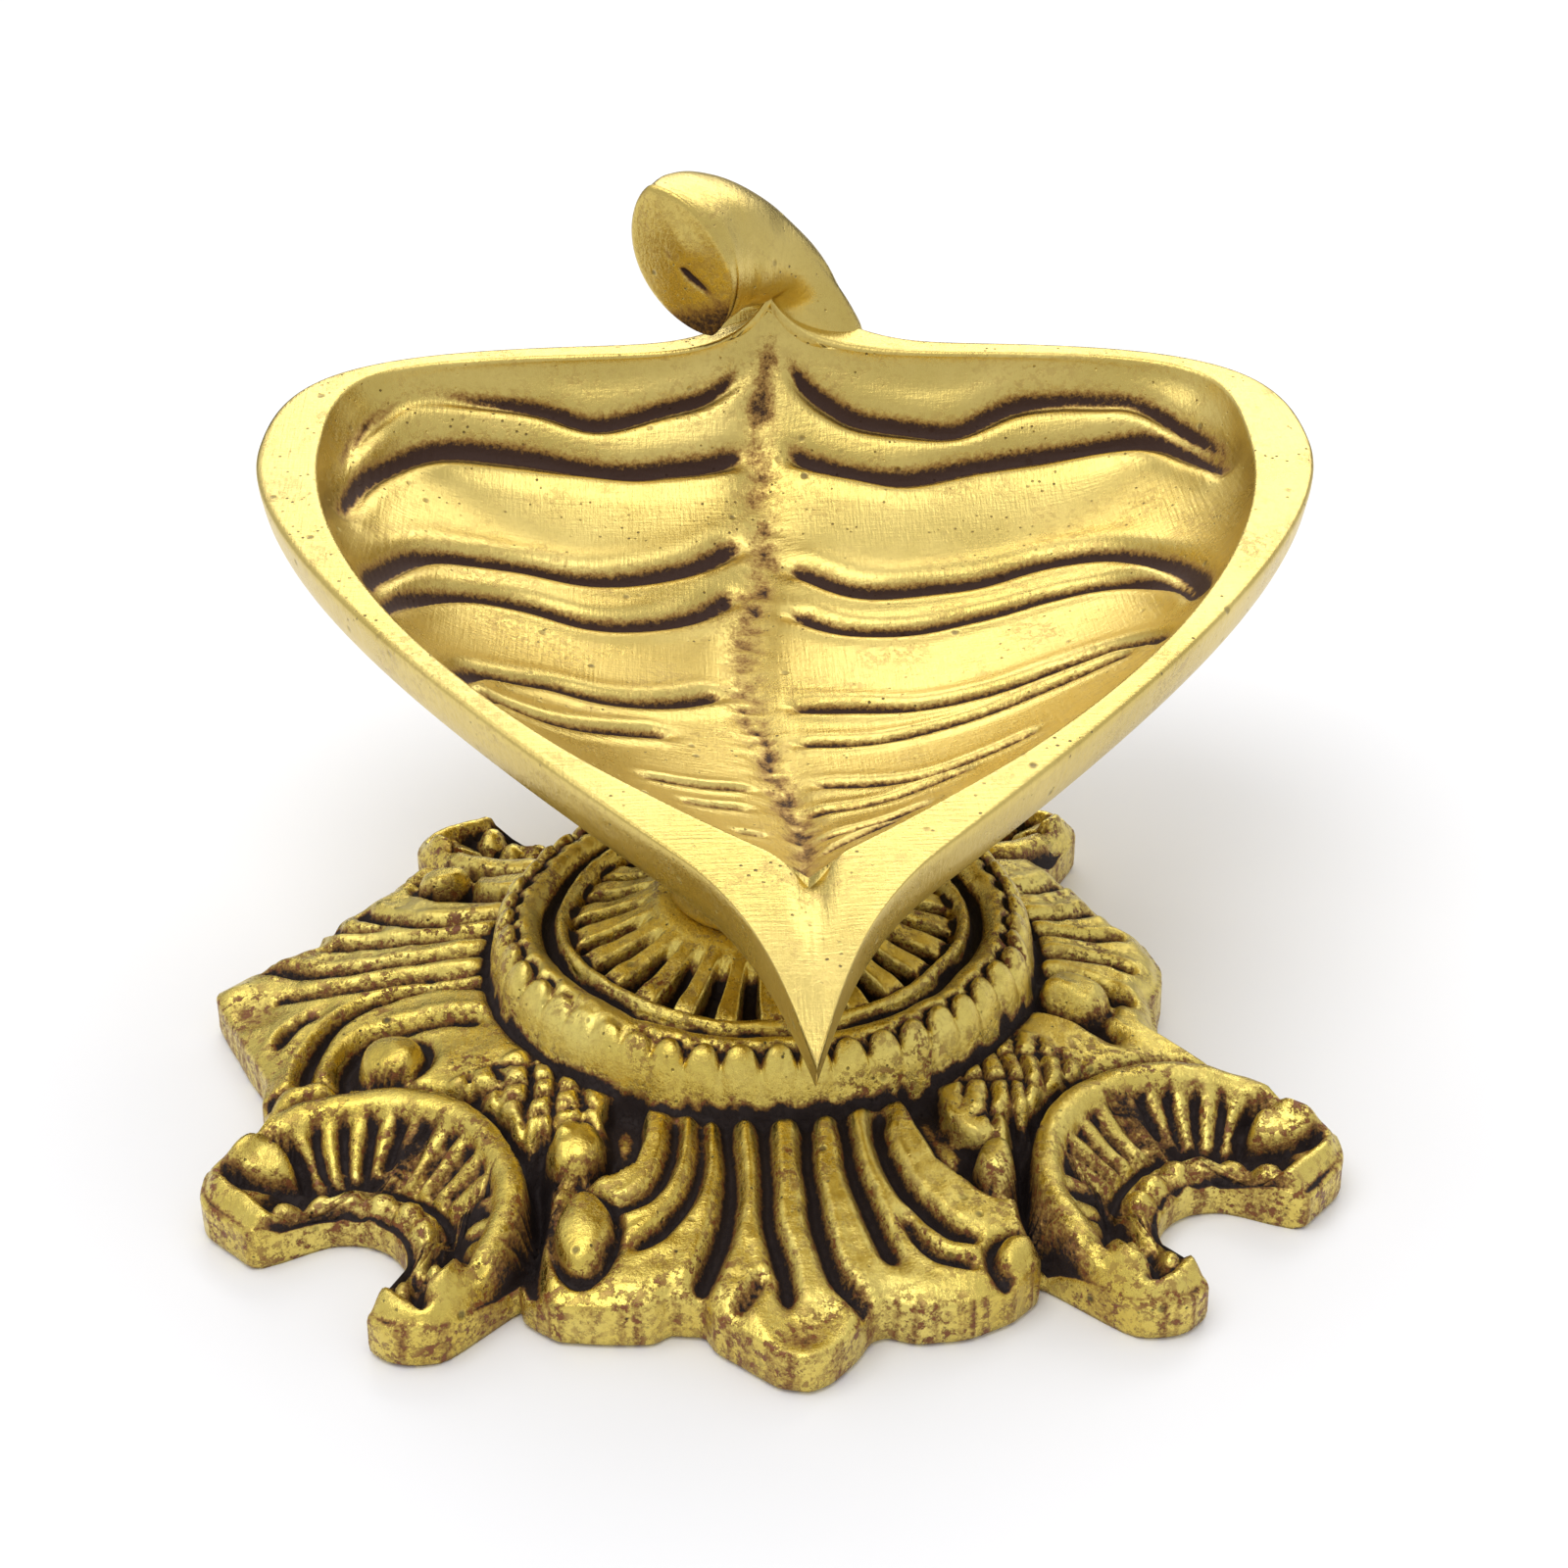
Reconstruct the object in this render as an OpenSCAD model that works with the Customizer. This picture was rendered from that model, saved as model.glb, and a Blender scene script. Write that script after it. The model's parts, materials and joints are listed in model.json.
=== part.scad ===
// Leaf-shaped brass diya on an ornamental cast base.
// The bowl and its curled stem are one casting. One screw from below clamps it to the base,
// and the bowl turns about that screw.
// Millimetres. +Z up, the bowl's pouring tip points towards -Y.

/* [Leaf bowl] */
// Length of the leaf from its rear rim to the pouring tip
leaf_length = 83.5; // [70:0.5:96]
// Width of the leaf across its shoulders
leaf_width = 80; // [70:0.5:96]
// Depth of the oil basin below the rim
basin_depth = 11; // [8:0.5:14]
// Thickness of the basin floor
floor_wall = 2.8; // [2:0.1:4]
// Width of the flat rim at the shoulders
rim_width = 4.6; // [3:0.1:6]
// Height of the boss between the base and the underside of the basin
boss_height = 4.3; // [3.5:0.1:8]
// Forward lean of the bowl, tip down
bowl_tilt = 9; // [4:0.5:12]
// Distance of the leaf's middle line from the screw
leaf_shift = 2.4; // [0:0.1:4]
// How far ahead of the rear rim the screw stands
screw_from_rear = 45.5; // [38:0.5:50]
// Turn of the bowl on its screw, seen from above
bowl_turn = -2; // [-180:1:180]

/* [Stem] */
// Thickness of the stem where it leaves the rim
stem_root = 9.6; // [7:0.2:12]
// Thickness of the stem at its waist
stem_waist = 7.2; // [5:0.2:9]
// Height of the stem's curl above the rear rim
stem_rise = 14; // [10:0.5:18]
// How far the curl leans to the left
stem_lean = 8.6; // [5:0.2:12]

/* [Base] */
// Reach of each palmette from the middle: front, right, rear, left
palmette_reach = [38, 28.6, 38, 39.4];
// Radius of the base between its ornaments
plate_radius = 28; // [27:0.2:32]
// Height of the upright edge of the base
edge_height = 2.6; // [2:0.1:4]
// Height of the base at the foot of its collar
shoulder_height = 6.4; // [5.5:0.1:8]
// Outer radius of the raised collar
collar_radius = 18.2; // [16:0.1:20]
// Width of the raised collar
collar_width = 3.9; // [3:0.1:5]
// Height of the top of the collar
collar_height = 10.2; // [9:0.1:11]
// Wall thickness of the hollow casting
base_wall = 2.6; // [2:0.1:3.4]
// Number of pearls around the collar
pearl_count = 48; // [24:1:56]
// Radius of one pearl
pearl_radius = 1.0; // [0.6:0.1:1.3]

/* [Crescents] */
// Direction of each crescent from the middle: rear right, rear left, front left, front right
crescent_aim = [60, 120, 225, 315];
// Distance of each crescent's centre from the middle, in the same order
crescent_reach = [29.6, 29.6, 36.6, 36.6];
// Outer radius of a crescent
crescent_radius = 11; // [10:0.2:13]
// Radius of the notch in a crescent
notch_radius = 5.2; // [4.2:0.1:6.5]
// How far outside the crescent's centre its notch is centred
notch_offset = 1.6; // [1:0.1:3]

/* [Clamp screw] */
// Thread diameter of the clamp screw
screw_diameter = 4; // [3:0.5:5]
// Length of the screw under its head
screw_length = 10; // [9:0.5:12]
// Diameter of the screw's head
head_diameter = 8; // [6:0.5:9]
// Height of the screw's head
head_height = 2.4; // [2:0.1:3]
// Width of the driver slot
slot_width = 1.2; // [0.8:0.1:1.6]
// Outer diameter of the washer
washer_diameter = 9; // [8:0.5:12]
// Thickness of the washer
washer_thickness = 0.8; // [0.5:0.1:1.2]
// Radial gap between the screw and the base it turns in
swivel_clearance = 0.1; // [0.05:0.01:0.1]
// Radial gap of the screw in the tapped boss
thread_clearance = 0.05; // [0.02:0.01:0.1]

/* [Hidden] */
$fn = 48;

// Where the screw stands from the middle of the lamp's outline.
screw_spot = [-1.9, -6.3];

// Heights of the clamped stack, from the bench up.
pedestal_top = collar_height + 1.3;
pedestal_radius = 7;
seat_height = shoulder_height + 0.1;
head_top = seat_height - washer_thickness;
screw_tip = head_top + screw_length;
boss_radius = pedestal_radius - 0.5;
// Height of the rim's plane over the screw.
rim_height = pedestal_top + boss_height + floor_wall + basin_depth;
// The tapped hole goes this much deeper than the screw.
tap_depth_spare = 0.8;

// Rim outlines as Bezier arcs. Each point is [share of the length from the rear, share of the half width].
outer_arcs = [
    [[0, 0.12], [0, 0.84], [0.04, 1], [0.2, 1]],
    [[0.2, 1], [0.36, 1], [0.6, 0.58], [0.8, 0.19]],
    [[0.8, 0.19], [0.86, 0.08], [0.93, 0.04], [1, 0]]
];
side_share = 1 - rim_width / (leaf_width / 2);
rear_share = 2.2 / leaf_length;
apex_share = 0.82;
inner_arcs = [
    [[rear_share, 0.1], [rear_share, 0.93 * side_share], [0.04, side_share + 0.01], [0.19, side_share]],
    [[0.19, side_share], [0.36, side_share], [0.6, 0.7 * side_share], [0.79, 0.06]],
    [[0.79, 0.06], [0.8, 0.04], [0.81, 0.02], [apex_share, 0]]
];
// Steps along each arc: the shoulders and the long sides need more than the tip.
arc_steps = [12, 16, 8];
// Where the basin is deepest, as a share of the length.
deep_share = 0.36;
// Cross-section of the bowl from its middle out: [share of the radius, share of the depth].
outer_profile = [[0.2, 0.975], [0.4, 0.9], [0.6, 0.77], [0.78, 0.6], [0.9, 0.45], [0.965, 0.32], [0.99, 0.2], [1, 0.06]];
inner_profile = [[0.2, 0.985], [0.4, 0.92], [0.58, 0.81], [0.74, 0.65], [0.87, 0.43], [0.95, 0.2], [0.985, 0.07]];

function bezier(p, t) =
    pow(1 - t, 3) * p[0] + 3 * pow(1 - t, 2) * t * p[1] + 3 * (1 - t) * t * t * p[2] + t * t * t * p[3];

// Half of an outline from the rear to the tip, in millimetres from the screw: [sideways, rearwards].
function half_outline(arcs) = [
    for (a = [0:2]) for (i = [0:arc_steps[a] - 1])
        let (q = bezier(arcs[a], i / arc_steps[a]))
            [q[1] * leaf_width / 2, screw_from_rear - q[0] * leaf_length]
];

// The whole outline, counter-clockwise: up the right side from the tip, down the left side.
function outline(arcs) =
    let (half = half_outline(arcs), n = len(half), tip = arcs[2][3])
        concat(
            [[0, screw_from_rear - tip[0] * leaf_length]],
            [for (i = [1:n]) half[n - i]],
            [for (i = [0:n - 1]) [-half[i][0], half[i][1]]]
        );

deep_spot = [0, screw_from_rear - deep_share * leaf_length];

// A ring of the bowl: the outline shrunk towards the deepest spot and set down by a depth.
function bowl_ring(edge, share, depth) =
    [for (p = edge) let (q = deep_spot + (p - deep_spot) * share) [q[0], q[1], -depth]];

// Triangles of a closed skin over rings of n points, with a pole before the first and after the last.
function skin_faces(n, rings) = concat(
    [for (i = [0:n - 1]) [0, 1 + i, 1 + (i + 1) % n]],
    [for (r = [0:rings - 2]) for (i = [0:n - 1])
        let (a = 1 + r * n + i, b = 1 + r * n + (i + 1) % n) [a, a + n, b + n]],
    [for (r = [0:rings - 2]) for (i = [0:n - 1])
        let (a = 1 + r * n + i, b = 1 + r * n + (i + 1) % n) [a, b + n, b]],
    [for (i = [0:n - 1]) [1 + rings * n, 1 + (rings - 1) * n + (i + 1) % n, 1 + (rings - 1) * n + i]]
);

module skin(rings, first_pole, last_pole) {
    points = concat([first_pole], [for (ring = rings) for (p = ring) p], [last_pole]);
    polyhedron(points = points, faces = skin_faces(len(rings[0]), len(rings)), convexity = 6);
}

module leaf_shell() {
    outer = outline(outer_arcs);
    inner = outline(inner_arcs);
    outer_depth = basin_depth + floor_wall;
    outside = [for (s = outer_profile) bowl_ring(outer, s[0], s[1] * outer_depth)];
    inside = [for (i = [len(inner_profile) - 1:-1:0])
        bowl_ring(inner, inner_profile[i][0], inner_profile[i][1] * basin_depth)];
    skin(
        concat(outside, [bowl_ring(outer, 0.996, 0), bowl_ring(inner, 1, 0)], inside),
        [deep_spot[0], deep_spot[1], -outer_depth],
        [deep_spot[0], deep_spot[1], -basin_depth]
    );
}

// Rings of a tube swept along a path. Each ring faces its neighbours' direction.
function unit(v) = v / norm(v);
function path_ring(path, i, radius, sides) =
    let (
        ahead = path[min(i + 1, len(path) - 1)] - path[max(i - 1, 0)],
        along = unit(ahead),
        side = unit(cross(along, [0, 1, 0.35])),
        up = cross(side, along)
    )
        [for (k = [0:sides - 1]) path[i] + radius * (cos(k * 360 / sides) * side - sin(k * 360 / sides) * up)];

// The stem's middle line, from inside the rear rim up, round to the left and forward.
rear_y = screw_from_rear - 1.5;
stem_path = [
    [0.2, rear_y - 0.5, -2.6],
    [0.3, rear_y + 1.4, 0.2],
    [0.2, rear_y + 3.2, stem_rise * 0.22],
    [-stem_lean * 0.1, rear_y + 4.4, stem_rise * 0.4],
    [-stem_lean * 0.3, rear_y + 4.6, stem_rise * 0.56],
    [-stem_lean * 0.55, rear_y + 3.6, stem_rise * 0.66],
    [-stem_lean * 0.8, rear_y + 1.6, stem_rise * 0.68],
    [-stem_lean, rear_y - 1.4, stem_rise * 0.62]
];
stem_radii = [stem_root, stem_root, stem_root * 0.9, stem_waist * 1.05, stem_waist, stem_waist * 1.08,
    stem_waist * 1.12, stem_waist * 0.8] / 2;

module stem() {
    last = len(stem_path) - 1;
    skin(
        [for (i = [0:last]) path_ring(stem_path, i, stem_radii[i], 16)],
        stem_path[0],
        stem_path[last] + 0.2 * stem_waist * unit(stem_path[last] - stem_path[last - 1])
    );
}

// Moves its children from the rim's own plane to where the tilted rim sits over the screw.
module on_rim() {
    rotate([0, 0, bowl_turn])
        translate([leaf_shift, 0, rim_height])
            rotate([bowl_tilt, 0, 0])
                children();
}

module at_screw() {
    translate([screw_spot[0], screw_spot[1], 0]) children();
}

module leaf_bowl() {
    boss_top = rim_height - basin_depth - floor_wall / 2;
    color("gold")
        at_screw()
            difference() {
                union() {
                    on_rim() leaf_shell();
                    on_rim() stem();
                    translate([0, 0, pedestal_top])
                        cylinder(r = boss_radius, h = boss_top - pedestal_top);
                }
                translate([0, 0, pedestal_top - 1])
                    cylinder(d = screw_diameter + 2 * thread_clearance, h = screw_tip - pedestal_top + 1 + tap_depth_spare);
            }
}

// Width of the ring that the base rests on, under the plate's edge.
edge_land = 3.4;
// How far past the crescent's centre its arms end.
arm_end = 4.4;
// The palmettes wide enough for a volute on each side: front and left.
knobbed_palmettes = [0, 3];

// Plan of the base: a round plate with palmette tips, lobes and notched crescents.
module base_plan() {
    difference() {
        union() {
            circle(r = plate_radius);
            for (k = [0:3])
                rotate(k * 90 - 90)
                    palmette_plan(palmette_reach[k]);
            for (k = [0:3])
                rotate(crescent_aim[k])
                    translate([crescent_reach[k], 0])
                        intersection() {
                            circle(r = crescent_radius);
                            translate([-crescent_radius, -crescent_radius])
                                square([crescent_radius + arm_end, 2 * crescent_radius]);
                        }
        }
        for (k = [0:3])
            rotate(crescent_aim[k])
                translate([crescent_reach[k] + notch_offset, 0]) {
                    circle(r = notch_radius);
                    translate([0, -notch_radius]) square([crescent_radius, 2 * notch_radius]);
                }
    }
}

// Plan of one palmette: a pointed middle tip between two blunt lobes, with a nick on each side of it.
module palmette_plan(reach) {
    tip_half = 3.4;
    lobe_reach = reach - 2.4;
    spread = 30;
    nick = 1.3;
    polygon([[0, -tip_half], [reach - 3, -tip_half], [reach, -1.2], [reach, 1.2], [reach - 3, tip_half], [0, tip_half]]);
    difference() {
        intersection() {
            circle(r = lobe_reach);
            polygon([[0, 0], [reach, -reach * tan(spread)], [reach, reach * tan(spread)]]);
        }
        for (side = [-1, 1])
            rotate(side * 8.6)
                translate([lobe_reach, 0])
                    circle(r = nick);
    }
}

// Upper surface of the base as a half section: edge, shoulder, collar, groove and pedestal.
module base_section() {
    groove = 1.4;
    inner = collar_radius - collar_width;
    reach = max(crescent_reach) + crescent_radius;
    polygon([
        [0, 0], [reach, 0], [reach, edge_height],
        [(plate_radius + collar_radius) / 2, (edge_height + shoulder_height) / 2 + 1],
        [collar_radius + 1.2, shoulder_height],
        [collar_radius, shoulder_height + 0.8],
        [collar_radius - 0.6, collar_height - 0.6],
        [collar_radius - 1.6, collar_height],
        [inner + 0.6, collar_height - 0.2],
        [inner, collar_height - groove],
        [inner - 0.8, collar_height - 0.1],
        [inner - 2, collar_height],
        [pedestal_radius, pedestal_top],
        [0, pedestal_top]
    ]);
}

// Half section of the hollow under the base, with a flat seat for the washer.
module hollow_section() {
    mouth = plate_radius - edge_land;
    polygon([
        [0, -1], [mouth, -1], [mouth, 0.6],
        [(mouth + collar_radius) / 2, shoulder_height - base_wall],
        [collar_radius - 2, seat_height],
        [0, seat_height]
    ]);
}

// A half-round rib that lies on the slope from the collar to the edge.
module slope_rib(from_radius, to_radius, angle, thick) {
    fall = atan((shoulder_height - edge_height) / (plate_radius - collar_radius));
    length = (to_radius - from_radius) / cos(fall);
    rotate([0, 0, angle])
        translate([from_radius, 0, shoulder_height])
            rotate([0, 90 + fall, 0])
                cylinder(r1 = thick * 0.6, r2 = thick, h = length);
}

// The round end of a volute, half sunk in the slope.
module volute_knob(reach, angle) {
    rotate([0, 0, angle])
        translate([reach, 0, shoulder_height - 1])
            sphere(r = 2);
}

// The raised outer band of a crescent, with a round eye at the end of each arm.
module crescent_band(reach) {
    tube = 1.9;
    bend = crescent_radius - tube;
    gap = 64;
    translate([reach, 0, edge_height + 0.4]) {
        rotate([0, 0, gap])
            rotate_extrude(angle = 360 - 2 * gap)
                translate([bend, 0]) circle(r = tube);
        for (side = [-1, 1])
            rotate([0, 0, side * gap])
                translate([bend, 0, 0])
                    sphere(r = tube + 0.15);
    }
}

module base() {
    color("darkgoldenrod")
        at_screw()
            difference() {
                union() {
                    intersection() {
                        linear_extrude(height = 20) base_plan();
                        rotate_extrude() base_section();
                    }
                    for (k = [0:3])
                        for (rib = [-1:1])
                            slope_rib(collar_radius + 1, palmette_reach[k] - 4, k * 90 - 90 + rib * 9, 1.7);
                    for (k = knobbed_palmettes)
                        for (side = [-1, 1])
                            volute_knob(palmette_reach[k] - 12, k * 90 - 90 + side * 25);
                    for (k = [0:3])
                        rotate([0, 0, crescent_aim[k]]) crescent_band(crescent_reach[k]);
                    for (i = [0:pearl_count - 1])
                        rotate([0, 0, (i + 0.5) * 360 / pearl_count])
                            translate([collar_radius - 0.2, 0, shoulder_height + 1.4])
                                sphere(r = pearl_radius, $fn = 24);
                }
                rotate_extrude() hollow_section();
                translate([0, 0, seat_height - 1])
                    cylinder(d = screw_diameter + 2 * swivel_clearance, h = pedestal_top);
                translate([0, 0, -10])
                    cylinder(r = 2 * max(crescent_reach), h = 10);
            }
}

module clamp_screw() {
    color("silver")
        at_screw()
            difference() {
                union() {
                    translate([0, 0, head_top]) cylinder(d = screw_diameter, h = screw_length);
                    translate([0, 0, head_top - head_height]) cylinder(d = head_diameter, h = head_height);
                }
                translate([-head_diameter, -slot_width / 2, head_top - head_height - 1])
                    cube([2 * head_diameter, slot_width, 1 + head_height / 2]);
            }
}

module washer() {
    color("silver")
        at_screw()
            translate([0, 0, head_top])
                difference() {
                    cylinder(d = washer_diameter, h = washer_thickness);
                    translate([0, 0, -1])
                        cylinder(d = screw_diameter + 2 * swivel_clearance, h = washer_thickness + 2);
                }
}

base();
leaf_bowl();
clamp_screw();
washer();
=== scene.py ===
"""Leaf-shaped brass oil lamp on an ornamental cast base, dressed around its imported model.

Sizes are in millimetres inside the classes and become metres when a mesh is made.
"""

import json
import logging
import math
from collections.abc import Sequence
from dataclasses import dataclass, field, replace
from enum import Enum

import bpy
import numpy as np
from mathutils import Euler, Matrix, Vector


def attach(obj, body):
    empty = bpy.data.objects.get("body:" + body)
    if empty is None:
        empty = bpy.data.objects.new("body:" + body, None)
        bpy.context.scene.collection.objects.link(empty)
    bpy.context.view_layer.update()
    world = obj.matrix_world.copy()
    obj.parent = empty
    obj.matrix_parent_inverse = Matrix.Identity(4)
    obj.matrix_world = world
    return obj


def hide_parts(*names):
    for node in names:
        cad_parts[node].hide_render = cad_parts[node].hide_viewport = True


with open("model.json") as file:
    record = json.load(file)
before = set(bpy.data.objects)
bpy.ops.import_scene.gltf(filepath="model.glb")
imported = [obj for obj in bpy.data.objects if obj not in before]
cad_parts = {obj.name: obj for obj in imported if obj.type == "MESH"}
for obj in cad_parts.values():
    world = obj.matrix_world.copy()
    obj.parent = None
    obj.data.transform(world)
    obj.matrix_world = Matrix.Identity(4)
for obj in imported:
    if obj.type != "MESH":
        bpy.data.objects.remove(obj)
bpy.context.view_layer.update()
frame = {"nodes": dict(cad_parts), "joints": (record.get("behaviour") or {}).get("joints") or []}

LOG = logging.getLogger("oil_lamp")
MM = 0.001
# Attribute for patina, which under the leaf's stem also holds painted shade.
PATINA_AND_SHADE = "patina"
# The screw's place in plan, in millimetres.
SCREW_X, SCREW_Y = (v / MM for v in frame["joints"][0]["pos_m"][:2])
Array = np.ndarray


class Slot(Enum):
    """Material slots of the record."""

    ANTIQUE = "antique_brass"
    POLISHED = "polished_brass"


class Body(Enum):
    """Bodies that the pieces ride on."""

    STAND = "stand"
    BOWL = "bowl"


# ---------------------------------------------------------------- shape maths


def smooth(x: Array, low: float, high: float) -> Array:
    """Smooth step.

    Args:
        x: Where it is wanted.
        low: Where it is 0.
        high: Where it is 1; this may lie below low.

    Returns:
        The step's values.
    """
    t = np.clip((x - low) / (high - low), 0.0, 1.0)
    return t * t * (3.0 - 2.0 * t)


def bell(distance: Array, width: float) -> Array:
    """Bell curve that is 1 at no distance and falls off over the width."""
    return np.exp(-((distance / width) ** 2))


def dome(distance: Array, radius: float) -> Array:
    """Round cap of height 1 inside a radius, 0 outside it."""
    return np.sqrt(np.clip(1.0 - (distance / radius) ** 2, 0.0, 1.0))


def off_aim(angle: Array, aim: float) -> Array:
    """How far angles are from an aim.

    Args:
        angle: Angles.
        aim: The angle to measure from.

    Returns:
        The differences, between minus and plus half a turn.
    """
    return (angle - aim + math.pi) % (2 * math.pi) - math.pi


def near_middle(value: Array, pitch: float) -> Array:
    """Distance from the nearest whole multiple of a pitch, with its sign."""
    return ((value + pitch / 2) % pitch) - pitch / 2


def spline(points: Sequence[Sequence[float]], steps: int = 6) -> Array:
    """Smooth curve through points.

    Args:
        points: The points that the curve passes through.
        steps: Pieces between two points.

    Returns:
        The curve's points, one row each.
    """
    p = np.asarray(points, float)
    p = np.vstack([2 * p[0] - p[1], p, 2 * p[-1] - p[-2]])
    t = np.linspace(0, 1, steps, endpoint=False)[:, None]
    rows = []
    for a, b, c, d in zip(p[:-3], p[1:-2], p[2:-1], p[3:]):
        rows.append(0.5 * (2 * b + (c - a) * t + (2 * a - 5 * b + 4 * c - d) * t**2
                           + (3 * b - a - 3 * c + d) * t**3))
    rows.append(p[-2][None])
    return np.vstack(rows)


def curve_at(xs: Sequence[float], ys: Sequence[float], at: Array) -> Array:
    """Smooth interpolation of a table of heights.

    Args:
        xs: Rising positions.
        ys: The value at each position.
        at: Where the values are wanted.

    Returns:
        The values.
    """
    line = spline(list(zip(xs, ys)), 8)
    return np.interp(at, line[:, 0], line[:, 1])


@dataclass(frozen=True)
class Stroke:
    """A groove or ridge along a line."""

    points: tuple[tuple[float, float], ...]
    width: float
    depth: float
    taper: float = 1.5

    def field(self, x: Array, y: Array) -> tuple[Array, Array, Array]:
        """Distance of points from the line.

        Args:
            x: First coordinates of the points.
            y: Second coordinates of the points.

        Returns:
            The distance, the side (+1 on the left of the line) and a strength that fades at the ends.
        """
        line = spline(self.points)
        best = np.full(x.shape, 1e9)
        side = np.ones(x.shape)
        run = np.zeros(x.shape)
        done = 0.0
        for a, b in zip(line[:-1], line[1:]):
            ahead = b - a
            length = math.hypot(*ahead)
            u = np.clip(((x - a[0]) * ahead[0] + (y - a[1]) * ahead[1]) / length**2, 0, 1)
            dx, dy = x - a[0] - u * ahead[0], y - a[1] - u * ahead[1]
            d = dx * dx + dy * dy
            near = d < best
            best = np.where(near, d, best)
            side = np.where(near, np.sign(ahead[0] * dy - ahead[1] * dx), side)
            run = np.where(near, done + u * length, run)
            done += length
        fade = smooth(run, -0.4, self.taper) * smooth(done - run, -0.4, self.taper)
        return np.sqrt(best), side, fade


def polygon_depth(points: Sequence[Sequence[float]], x: Array, y: Array) -> Array:
    """Signed distance to a polygon's edge.

    Args:
        points: The polygon's corners.
        x: First coordinates.
        y: Second coordinates.

    Returns:
        The distance, positive inside.
    """
    p = np.asarray(points, float)
    best = np.full(x.shape, 1e9)
    inside = np.zeros(x.shape, bool)
    for a, b in zip(p, np.roll(p, -1, axis=0)):
        ahead = b - a
        u = np.clip(((x - a[0]) * ahead[0] + (y - a[1]) * ahead[1]) / (ahead @ ahead), 0, 1)
        best = np.minimum(best, np.hypot(x - a[0] - u * ahead[0], y - a[1] - u * ahead[1]))
        crosses = (a[1] > y) != (b[1] > y)
        rise = ahead[1] if abs(ahead[1]) > 1e-9 else 1e-9
        inside ^= crosses & (x < a[0] + (y - a[1]) * ahead[0] / rise)
    return np.where(inside, best, -best)


@dataclass(frozen=True)
class Grain:
    """Smooth random field on a lattice, the same on every run."""

    cell: float
    seed: int

    def at(self, x: Array, y: Array) -> Array:
        """Field value at points.

        Args:
            x: First coordinates.
            y: Second coordinates.

        Returns:
            Values between -1 and 1.
        """
        table = np.random.default_rng(self.seed).uniform(-1, 1, (64, 64))
        u, v = x / self.cell, y / self.cell
        i, j = np.floor(u).astype(int), np.floor(v).astype(int)
        f, g = smooth(u - i, 0, 1), smooth(v - j, 0, 1)
        i, j, k, m = i % 64, j % 64, (i + 1) % 64, (j + 1) % 64
        low = table[i, j] * (1 - f) + table[k, j] * f
        high = table[i, m] * (1 - f) + table[k, m] * f
        return low * (1 - g) + high * g


# ---------------------------------------------------------------- mesh making


class Skin:
    """Vertices and faces gathered patch by patch."""

    def __init__(self) -> None:
        """Start with nothing."""
        self.points: list[Array] = []
        self.faces: list[tuple[int, ...]] = []
        self.stain: list[Array] = []
        self.count = 0

    def add(self, points: Array, stain: Array | float = 0.0) -> Array:
        """Add vertices.

        Args:
            points: Rows of x, y, z.
            stain: Patina at each, or one value for all; under the stem's end it also holds painted shade.

        Returns:
            Their numbers.
        """
        flat = np.asarray(points, float).reshape(-1, 3)
        self.points.append(flat)
        self.stain.append(np.broadcast_to(stain, (len(flat),)).astype(float))
        numbers = np.arange(self.count, self.count + len(flat))
        self.count += len(flat)
        return numbers

    def bridge(self, low: Array, high: Array, closed: bool = True) -> None:
        """Quads between two rows of vertices of one length.

        Args:
            low: Numbers of the first row.
            high: Numbers of the second row.
            closed: Whether the rows are loops.
        """
        a, b, c, d = low, np.roll(low, -1), np.roll(high, -1), high
        quads = np.stack([a, b, c, d], 1)
        self.faces += quads[: None if closed else -1].tolist()

    def fan(self, ring: Array, tip: int) -> None:
        """Triangles from a closed ring to one vertex."""
        self.faces += [(int(a), int(b), int(tip)) for a, b in zip(ring, np.roll(ring, -1))]

    def build(self, name: str) -> bpy.types.Object:
        """Make the object, in metres, with its attribute of patina and painted shade, and outward normals.

        Args:
            name: Name of the piece.

        Returns:
            The object.
        """
        mesh = bpy.data.meshes.new(name)
        mesh.from_pydata((np.vstack(self.points) * MM).tolist(), [], self.faces)
        layer = mesh.attributes.new(PATINA_AND_SHADE, "FLOAT", "POINT")
        layer.data.foreach_set("value", np.concatenate(self.stain).astype(np.float32))
        piece = bpy.data.objects.new(name, mesh)
        bpy.context.scene.collection.objects.link(piece)
        select_only(piece)
        bpy.ops.object.mode_set(mode="EDIT")
        bpy.ops.mesh.select_all(action="SELECT")
        bpy.ops.mesh.remove_doubles(threshold=2e-6)
        bpy.ops.mesh.normals_make_consistent(inside=False)
        bpy.ops.object.mode_set(mode="OBJECT")
        bpy.ops.object.shade_smooth()
        return piece


def select_only(piece: bpy.types.Object) -> None:
    """Select one object and make it active."""
    bpy.ops.object.select_all(action="DESELECT")
    piece.select_set(True)
    bpy.context.view_layer.objects.active = piece


def seat(piece: bpy.types.Object, body: Body, slot: Slot, node: str) -> None:
    """Put a finished piece on its body.

    Args:
        piece: The piece.
        body: The body that it rides on.
        slot: Not used.
        node: The node that it stands for.
    """
    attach(piece, body.value)
    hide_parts(node)
    LOG.info("%s: %d faces", piece.name, len(piece.data.polygons))


# ---------------------------------------------------------------- shader nodes


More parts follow.
